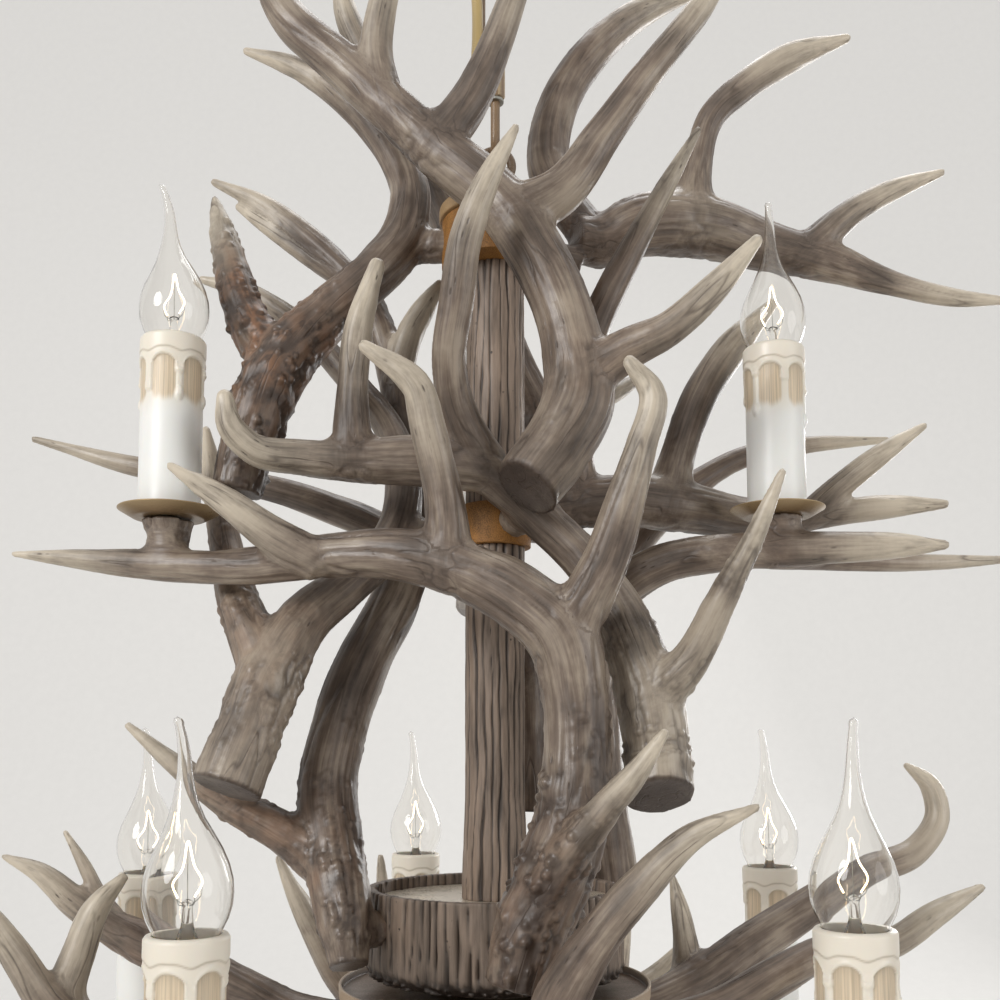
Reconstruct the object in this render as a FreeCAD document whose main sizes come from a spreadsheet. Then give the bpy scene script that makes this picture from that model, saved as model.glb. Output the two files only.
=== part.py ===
import FreeCAD, Part
import math
import os
from FreeCAD import Vector

# Antler chandelier. Millimetres, +Z up, the origin on the ceiling face of the bracket, the column on the Z axis,
# the front of the photograph towards -Y.

doc = FreeCAD.newDocument("antler_chandelier")
sheet = doc.addObject("Spreadsheet::Sheet", "sizes")

SIZES = [
    # ceiling fitting
    ("bracket_length", 92), ("bracket_width", 22), ("bracket_thick", 3), ("fixing_spacing", 62),
    ("fixing_hole_radius", 2.6), ("canopy_radius", 55), ("canopy_depth", 45), ("canopy_wall", 1.5),
    ("canopy_shoulder", 12), ("canopy_neck_radius", 38), ("stem_radius", 5), ("stem_nut_radius", 9.5),
    ("stem_nut_height", 7),
    # chain
    ("wire_radius", 2.5), ("link_clearance", 0.3), ("eye_radius", 11.5), ("eye_neck", 15.9),
    ("link_length", 47), ("link_half_width", 8), ("quick_length", 75), ("quick_half_width", 9),
    ("quick_gap", 12), ("quick_nut_length", 20), ("quick_nut_radius", 5.4), ("thread_clearance", 0.1),
    ("hub_eye_neck", 12.3),
    # column
    ("hub_radius", 29), ("hub_height", 26), ("lid_radius", 30.5), ("lid_thick", 7), ("pipe_radius", 6),
    ("bark_radius", 15.7), ("bark_foot_radius", 17.2), ("bark_groove", 0.9), ("middle_hub_drop", 164),
    ("middle_hub_radius", 19), ("middle_hub_height", 22), ("drum_drop", 363), ("drum_radius", 66),
    ("drum_height", 43), ("drum_wall", 8), ("drum_floor", 5), ("drum_groove", 2.2), ("drum_recess", 6),
    ("drum_plate_thick", 4), ("plate_gap", 8), ("plate_radius", 78), ("plate_thick", 3),
    ("plate_boss_radius", 30), ("rim_height", 7), ("rim_thick", 1.5), ("lower_hub_radius", 34),
    ("lower_hub_height", 51), ("finial_radius", 14), ("finial_height", 15),
    # candles
    ("sleeve_height", 90), ("sleeve_radius", 15.3), ("sleeve_bore", 13.2), ("wax_band", 0.7),
    ("wax_band_height", 30), ("saucer_radius", 25), ("saucer_lip", 3), ("saucer_floor", 2),
    ("holder_radius", 12.4), ("holder_drop", 12), ("socket_radius", 7.4), ("socket_clearance", 0.3),
    ("cap_radius", 6.9), ("cap_length", 24), ("cap_drop", 34), ("bulb_radius", 17.5), ("bulb_height", 83),
    # antlers and their fixings
    ("carving_step", 1), ("lug_radius", 9), ("stud_radius", 2.5), ("stud_length", 26),
    ("stud_head_radius", 5), ("stud_head_thick", 3),
    # supply cord
    ("cord_radius", 3), ("cord_clearance", 0.4), ("gland_radius", 6), ("gland_length", 8),
]

# Each candle: the level that it keeps to, its angle about the column, its distance from the axis, and how far its
# foot stands above that level.
CANDLES = {
    "upper_left": ("middle_hub", 192.4, 167, -12),
    "upper_right": ("middle_hub", -0.8, 150, -4),
    "upper_back": ("middle_hub", 96, 160, -11),
    "lower_front_left": ("lower_hub", 232, 190, -36),
    "lower_front_right": ("lower_hub", 316.4, 197, -36),
    "lower_right": ("lower_hub", 30.3, 192, -36),
    "lower_back_right": ("lower_hub", 69.7, 190, -36),
    "lower_back_left": ("lower_hub", 106.8, 190, -36),
    "lower_left": ("lower_hub", 162, 211, -36),
}
for name, (tier, angle, reach, rise) in CANDLES.items():
    SIZES += [(name + "_angle", angle), (name + "_reach", reach), (name + "_rise", rise)]

for row, (alias, value) in enumerate(SIZES, start=1):
    sheet.set("A%d" % row, alias)
    sheet.set("B%d" % row, str(value))
    sheet.setAlias("B%d" % row, alias)
doc.recompute()


def size(alias):
    """The value of one cell of the sheet."""
    return float(sheet.get(alias))


BEAM_SIDES = 7          # flats round an antler's beam
TINE_SIDES = 5          # flats round its tines, lugs and bosses
STUD_SIDES = 6          # flats round a stud and its head
WIRE_SIDES = 8          # flats round a chain wire or the cord
CANDLE_SIDES = 9        # flats round a candle, a bulb or a saucer
PIPE_SIDES = 12         # flats round the pipe, the stems and their holes
HUB_SIDES = 18          # flats round the hubs on the column
PLATE_SIDES = 30        # flats round the wide plates and the canopy
BEND_STEPS = 6          # straight steps in the half turn of a link
BARK_RIDGES = 13        # ridges round the column sleeve
DRUM_RIDGES = 30        # ridges round the drum

# Heights, as expressions on the sheet, so that what hangs lower follows what carries it.
EYE_TOP = "(-sizes.canopy_depth - sizes.eye_neck)"
LINK_RISE = "(2 * sizes.wire_radius + sizes.link_clearance)"
LINK_1_TOP = "(%s - 2 * sizes.eye_radius + %s)" % (EYE_TOP, LINK_RISE)
LINK_2_TOP = "(%s - sizes.link_length + %s)" % (LINK_1_TOP, LINK_RISE)
QUICK_TOP = "(%s - sizes.link_length + %s)" % (LINK_2_TOP, LINK_RISE)
HUB_EYE_TOP = "(%s - sizes.quick_length + %s)" % (QUICK_TOP, LINK_RISE)
HUB_TOP = "(%s - 2 * sizes.eye_radius - sizes.hub_eye_neck)" % HUB_EYE_TOP

# The levels of the two tiers of candles, against the hub lid's top face.
LEVELS = {
    "middle_hub": "-sizes.middle_hub_drop",
    "lower_hub": "-(sizes.drum_drop + sizes.drum_height + sizes.plate_gap + sizes.plate_thick)",
}


# ---------------------------------------------------------------- parametric helpers

def bind(obj, **expressions):
    """Bind an object's sizes to expressions on the sheet."""
    for prop, expression in expressions.items():
        obj.setExpression(prop, str(expression))
    return obj


def place(obj, x="0", y="0", z="0"):
    """Bind an object's place to expressions on the sheet."""
    for axis, expression in (("x", x), ("y", y), ("z", z)):
        obj.setExpression(".Placement.Base." + axis, str(expression))
    return obj


def cylinder(name, radius, height, x="0", y="0", z="0"):
    obj = doc.addObject("Part::Cylinder", name)
    bind(obj, Radius=radius, Height=height)
    return place(obj, x, y, z)


def cone(name, radius_low, radius_high, height, x="0", y="0", z="0"):
    obj = doc.addObject("Part::Cone", name)
    bind(obj, Radius1=radius_low, Radius2=radius_high, Height=height)
    return place(obj, x, y, z)


def prism(name, sides, radius, height, x="0", y="0", z="0"):
    obj = doc.addObject("Part::Prism", name)
    obj.Polygon = sides
    bind(obj, Circumradius=radius, Height=height)
    return place(obj, x, y, z)


def cut(name, base, *tools):
    obj = doc.addObject("Part::Cut", name)
    obj.Base = base
    obj.Tool = tools[0] if len(tools) == 1 else join(name + "_tools", *tools)
    return obj


def join(name, *shapes):
    obj = doc.addObject("Part::MultiFuse", name)
    obj.Shapes = list(shapes)
    return obj


def group(name, *shapes):
    obj = doc.addObject("Part::Compound", name)
    obj.Links = list(shapes)
    return obj


NODES = []


def node(name, obj):
    """Name a finished sub-part."""
    obj.Label = name
    NODES.append(obj)
    return obj


def feature(name, shape, z="0"):
    """A sub-part whose form no primitive gives. Its shape is set first and its place after."""
    obj = doc.addObject("Part::Feature", name + "_solid")
    obj.Shape = shape
    place(obj, z=z)
    return node(name, obj)


# ---------------------------------------------------------------- skins through rings of points

def triangle(a, b, c):
    return Part.Face(Part.makePolygon([a, b, c, a]))


def skin(rings, closed=False):
    """A solid through rings of points, each ring joined to the next by flat facets."""
    sides = len(rings[0])
    pairs = list(zip(rings, rings[1:])) + ([(rings[-1], rings[0])] if closed else [])
    faces = []
    for low, high in pairs:
        for k in range(sides):
            following = (k + 1) % sides
            faces.append(triangle(low[k], low[following], high[following]))
            faces.append(triangle(low[k], high[following], high[k]))
    if not closed:
        faces.append(Part.Face(Part.makePolygon(rings[0] + [rings[0][0]])))
        faces.append(Part.Face(Part.makePolygon(rings[-1] + [rings[-1][0]])))
    shell = Part.Shell(faces)
    shell.sewShape()
    solid = Part.Solid(shell)
    if solid.Volume < 0:
        solid.reverse()
    return solid


def turned(radius, low, high, sides=HUB_SIDES):
    """A round piece on the column's axis, with flats."""
    return prism_along(radius, Vector(0, 0, low), Vector(0, 0, high - low), sides)


def spun(profile, sides):
    """A turned form with flats about the column's axis, through radii and heights from the bottom up."""
    return skin([[Vector(radius * math.cos(2 * math.pi * k / sides), radius * math.sin(2 * math.pi * k / sides),
                         height) for k in range(sides)] for radius, height in profile])


def prism_along(radius, start, travel, sides):
    """A straight bar of flats from a point, along a vector."""
    turn = FreeCAD.Rotation(Vector(0, 0, 1), travel)
    ring = []
    for k in range(sides):
        angle = 2 * math.pi * k / sides
        ring.append(start + turn.multVec(Vector(radius * math.cos(angle), radius * math.sin(angle), 0)))
    return Part.Face(Part.makePolygon(ring + [ring[0]])).extrude(travel)


def tube_rings(centres, radii, sides, closed=False):
    """Rings square to a path, turned as little as possible from one to the next."""
    rings = []
    across = None
    last = len(centres) - 1
    for i, centre in enumerate(centres):
        before = centres[i - 1] if (closed or i > 0) else centre
        after = centres[(i + 1) % len(centres)] if (closed or i < last) else centre
        along = (after - before).normalize()
        if across is None:
            across = along.cross(Vector(0, 0, 1))
            if across.Length < 0.1:
                across = along.cross(Vector(1, 0, 0))
        else:
            across = across - along * across.dot(along)
        across.normalize()
        up = along.cross(across)
        ring = []
        for k in range(sides):
            turn = 2 * math.pi * k / sides
            ring.append(centre + (across * math.cos(turn) + up * math.sin(turn)) * radii[i])
        rings.append(ring)
    return rings


# ---------------------------------------------------------------- ceiling fitting

def ceiling_fitting():
    bar = doc.addObject("Part::Box", "bracket_bar")
    bind(bar, Length="sizes.bracket_length", Width="sizes.bracket_width", Height="sizes.bracket_thick")
    place(bar, "-sizes.bracket_length / 2", "-sizes.bracket_width / 2", "-sizes.bracket_thick")
    holes = []
    for side, sign in (("left", "-"), ("right", "")):
        holes.append(cylinder("fixing_hole_" + side, "sizes.fixing_hole_radius", "sizes.bracket_thick + 2",
                              x=sign + "sizes.fixing_spacing / 2", z="-sizes.bracket_thick - 1"))
    stem_hole = prism("bracket_stem_hole", PIPE_SIDES, "sizes.stem_radius", "sizes.bracket_thick + 2",
                      z="-sizes.bracket_thick - 1")
    node("ceiling_bracket", cut("bracket", bar, stem_hole, *holes))

    # The canopy is an open cup against the ceiling: straight sides, a sloping shoulder, a flat floor.
    depth, shoulder, wall = size("canopy_depth"), size("canopy_shoulder"), size("canopy_wall")
    wide, neck_radius = size("canopy_radius"), size("canopy_neck_radius")
    outside = spun([(neck_radius, -depth), (wide, shoulder - depth), (wide, 0)], PLATE_SIDES)
    inside = spun([(neck_radius - wall, wall - depth), (wide - wall, shoulder - depth), (wide - wall, 1)], PLATE_SIDES)
    cup = doc.addObject("Part::Feature", "canopy_sides")
    cup.Shape = outside.cut(inside)
    stem_way = prism("canopy_stem_hole", PIPE_SIDES, "sizes.stem_radius", "4 * sizes.canopy_wall",
                     z="-sizes.canopy_depth - sizes.canopy_wall")
    gland_way = prism("canopy_gland_hole", PIPE_SIDES, "sizes.gland_radius - 1.5", "4 * sizes.canopy_wall",
                      x=CORD_TOP[0], y=CORD_TOP[1], z="-sizes.canopy_depth - sizes.canopy_wall")
    node("canopy", cut("canopy_cup", cup, stem_way, gland_way))

    ring_nut = prism("ring_nut_outside", 6, "sizes.stem_nut_radius", "sizes.stem_nut_height",
                     z="-sizes.canopy_depth - sizes.stem_nut_height")
    ring_bore = prism("ring_nut_bore", PIPE_SIDES, "sizes.stem_radius", "sizes.stem_nut_height + 2",
                      z="-sizes.canopy_depth - sizes.stem_nut_height - 1")
    node("canopy_nut", cut("ring_nut", ring_nut, ring_bore))

    # The cord's bush: a collar under the canopy floor and a neck through it.
    collar = prism("gland_collar", PIPE_SIDES, "sizes.gland_radius", "sizes.gland_length",
                   x=CORD_TOP[0], y=CORD_TOP[1], z="-sizes.canopy_depth - sizes.gland_length")
    neck = prism("gland_neck", PIPE_SIDES, "sizes.gland_radius - 1.5", "sizes.canopy_wall + 3",
                 x=CORD_TOP[0], y=CORD_TOP[1], z="-sizes.canopy_depth")
    bore = prism("gland_bore", WIRE_SIDES, "sizes.cord_radius", "sizes.gland_length + 10",
                 x=CORD_TOP[0], y=CORD_TOP[1], z="-sizes.canopy_depth - sizes.gland_length - 1")
    node("cord_gland", cut("gland", join("gland_outside", collar, neck), bore))


# ---------------------------------------------------------------- chain

def racetrack(length, half_width, plane, start_gap=0.0):
    """Centre points of a link's wire, hanging from its top wire at the origin. With a gap, the path starts above
    the gap in the near leg and ends below it."""
    straight = length - 2 * half_width
    points = []
    for step in range(BEND_STEPS + 1):
        turn = math.pi * step / BEND_STEPS
        points.append((-half_width * math.cos(turn), -half_width + half_width * math.sin(turn)))
    for step in range(BEND_STEPS + 1):
        turn = math.pi * step / BEND_STEPS
        points.append((half_width * math.cos(turn), -half_width - straight - half_width * math.sin(turn)))
    if start_gap:
        middle = -length / 2
        points = [(-half_width, middle + start_gap / 2)] + points + [(-half_width, middle - start_gap / 2)]
    if plane == "XZ":
        return [Vector(across, 0, down) for across, down in points]
    return [Vector(0, across, down) for across, down in points]


def ring_points(radius):
    """Centre points of an eye's wire in the XZ plane, hanging from its top wire at the origin."""
    steps = 2 * BEND_STEPS
    return [Vector(radius * math.sin(2 * math.pi * k / steps), 0,
                   radius * math.cos(2 * math.pi * k / steps) - radius) for k in range(steps)]


def wire_solid(centres, closed=True):
    radii = [size("wire_radius")] * len(centres)
    return skin(tube_rings(centres, radii, WIRE_SIDES, closed), closed)


def chain():
    wire = size("wire_radius")
    eye = wire_solid(ring_points(size("eye_radius")))
    stem_top = size("canopy_depth") + size("eye_neck")
    canopy_eye = eye.fuse(turned(size("stem_radius"), -wire / 2, stem_top, PIPE_SIDES))
    feature("canopy_eye", canopy_eye, EYE_TOP)

    link = size("link_length"), size("link_half_width")
    feature("chain_link_1", wire_solid(racetrack(*link, "YZ")), LINK_1_TOP)
    feature("chain_link_2", wire_solid(racetrack(*link, "XZ")), LINK_2_TOP)

    # The quick link is open in its front leg, and a long hexagonal nut closes the opening.
    quick = racetrack(size("quick_length"), size("quick_half_width"), "YZ", size("quick_gap"))
    feature("quick_link", wire_solid(quick, closed=False), QUICK_TOP)
    middle = "%s - sizes.quick_length / 2 - sizes.quick_nut_length / 2" % QUICK_TOP
    outside = prism("quick_nut_outside", 6, "sizes.quick_nut_radius", "sizes.quick_nut_length",
                    y="-sizes.quick_half_width", z=middle)
    bore = prism("quick_nut_bore", PIPE_SIDES, "sizes.wire_radius + 2 * sizes.thread_clearance",
                 "sizes.quick_nut_length + 2", y="-sizes.quick_half_width", z=middle + " - 1")
    node("quick_link_nut", cut("quick_nut", outside, bore))

    neck_low = -2 * size("eye_radius") - size("hub_eye_neck") - size("lid_thick")
    neck_high = -2 * size("eye_radius") - wire / 2
    neck = turned(size("stem_radius"), neck_low, neck_high, PIPE_SIDES)
    feature("hub_eye", eye.fuse(neck), HUB_EYE_TOP)


# ---------------------------------------------------------------- column

def ridged(radii, heights, ridges, groove=0.0):
    """A bark-like sleeve of ridges and grooves, through the given radii and heights. With no groove, it is the
    outline over the ridges, which whatever sits against the bark is cut to."""
    rings = []
    points = 2 * ridges if groove else ridges
    for radius, height in zip(radii, heights):
        ring = []
        for k in range(points):
            turn = 2 * math.pi * k / points
            reach = radius - groove * (k % 2)
            ring.append(Vector(reach * math.cos(turn), reach * math.sin(turn), height))
        rings.append(ring)
    return skin(rings)


def bark_upper(groove=0.0):
    bark = size("bark_radius")
    return ridged([bark, bark], [middle_high(), hub_low()], BARK_RIDGES, groove)


def bark_lower(groove=0.0):
    bark, foot = size("bark_radius"), size("bark_foot_radius")
    floor = recess_floor()
    return ridged([foot, bark, bark], [floor, floor + 3 * foot, middle_low()], BARK_RIDGES, groove)


def drum_outside(groove=0.0):
    wide = size("drum_radius")
    return ridged([wide, wide], [drum_low(), -size("drum_drop")], DRUM_RIDGES, groove)


def column():
    """Everything round the pipe, placed by its drop below the hub lid's top face."""
    lid = prism("lid_disc", HUB_SIDES, "sizes.lid_radius", "sizes.lid_thick", z=HUB_TOP + " - sizes.lid_thick")
    lid_stem = prism("lid_stem_hole", PIPE_SIDES, "sizes.stem_radius", "sizes.lid_thick + 2",
                     z=HUB_TOP + " - sizes.lid_thick - 1")
    lid_cord = prism("lid_cord_hole", PIPE_SIDES, "sizes.cord_radius + sizes.cord_clearance", "sizes.lid_thick + 2",
                     x=CORD_FOOT[0], y=CORD_FOOT[1], z=HUB_TOP + " - sizes.lid_thick - 1")
    node("hub_lid", cut("lid", lid, lid_stem, lid_cord))

    hub = turned(size("hub_radius"), hub_low(), -size("lid_thick"))
    feature("hub", drilled(hub.cut(pipe_way())), HUB_TOP)
    feature("column_pipe", drilled(turned(size("pipe_radius"), pipe_low(), pipe_high(), PIPE_SIDES)), HUB_TOP)

    feature("bark_sleeve_upper", drilled(bark_upper(size("bark_groove")).cut(pipe_way())), HUB_TOP)
    middle = turned(size("middle_hub_radius"), middle_low(), middle_high())
    feature("middle_hub", drilled(middle.cut(pipe_way())), HUB_TOP)
    feature("bark_sleeve_lower", drilled(bark_lower(size("bark_groove")).cut(pipe_way())), HUB_TOP)


def drum_and_plate():
    low = drum_low()
    high = -size("drum_drop")
    plate_under = recess_floor() - size("drum_plate_thick")
    bore = size("drum_radius") - size("drum_wall")
    seat = size("drum_radius") - size("drum_wall") / 2
    drum = drum_outside(size("drum_groove"))
    hollow = turned(bore, low + size("drum_floor"), high, PLATE_SIDES)
    recess = turned(seat, plate_under, high + 1, PLATE_SIDES)
    feature("drum", drilled(drum.cut(hollow).cut(recess).cut(pipe_way())), HUB_TOP)
    top_plate = turned(seat, plate_under, plate_under + size("drum_plate_thick"), PLATE_SIDES)
    feature("drum_plate", top_plate.cut(pipe_way()), HUB_TOP)

    radius = size("plate_radius")
    under = plate_low()
    rim_high = under + size("rim_height")
    disc = turned(radius, under, under + size("plate_thick"), PLATE_SIDES)
    boss = turned(size("plate_boss_radius"), under, low)
    rim = turned(radius + size("rim_thick"), under, rim_high, PLATE_SIDES)
    rim = rim.cut(turned(radius, under - 1, rim_high + 1, PLATE_SIDES))
    feature("base_plate", disc.fuse([boss, rim]).cut(pipe_way()), HUB_TOP)

    hub = turned(size("lower_hub_radius"), lower_hub_low(), under)
    feature("lower_hub", drilled(hub.cut(pipe_way())), HUB_TOP)
    stem_z = "%s + %s - sizes.lower_hub_height" % (HUB_TOP, LEVELS["lower_hub"])
    high, wide = size("finial_height"), size("finial_radius")
    cap = doc.addObject("Part::Feature", "finial_dome")
    cap.Shape = spun([(0.35 * wide, -high), (0.85 * wide, -0.6 * high), (wide, 0)], PIPE_SIDES)
    place(cap, z=stem_z)
    socket = prism("finial_socket", PIPE_SIDES, "sizes.pipe_radius", "sizes.finial_height / 2 + 1",
                   z=stem_z + " - sizes.finial_height / 2")
    node("finial_nut", cut("finial", cap, socket))


def hub_low():
    return -size("lid_thick") - size("hub_height")


def middle_high():
    return -size("middle_hub_drop")


def middle_low():
    return middle_high() - size("middle_hub_height")


def recess_floor():
    return -size("drum_drop") - size("drum_recess")


def drum_low():
    return -size("drum_drop") - size("drum_height")


def plate_low():
    return drum_low() - size("plate_gap") - size("plate_thick")


def lower_hub_low():
    return plate_low() - size("lower_hub_height")


def pipe_high():
    return -size("lid_thick")


def pipe_low():
    return lower_hub_low() - size("finial_height") / 2


def pipe_way():
    return turned(size("pipe_radius"), pipe_low() - 1, pipe_high() + 1, PIPE_SIDES)


# ---------------------------------------------------------------- antlers

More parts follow.
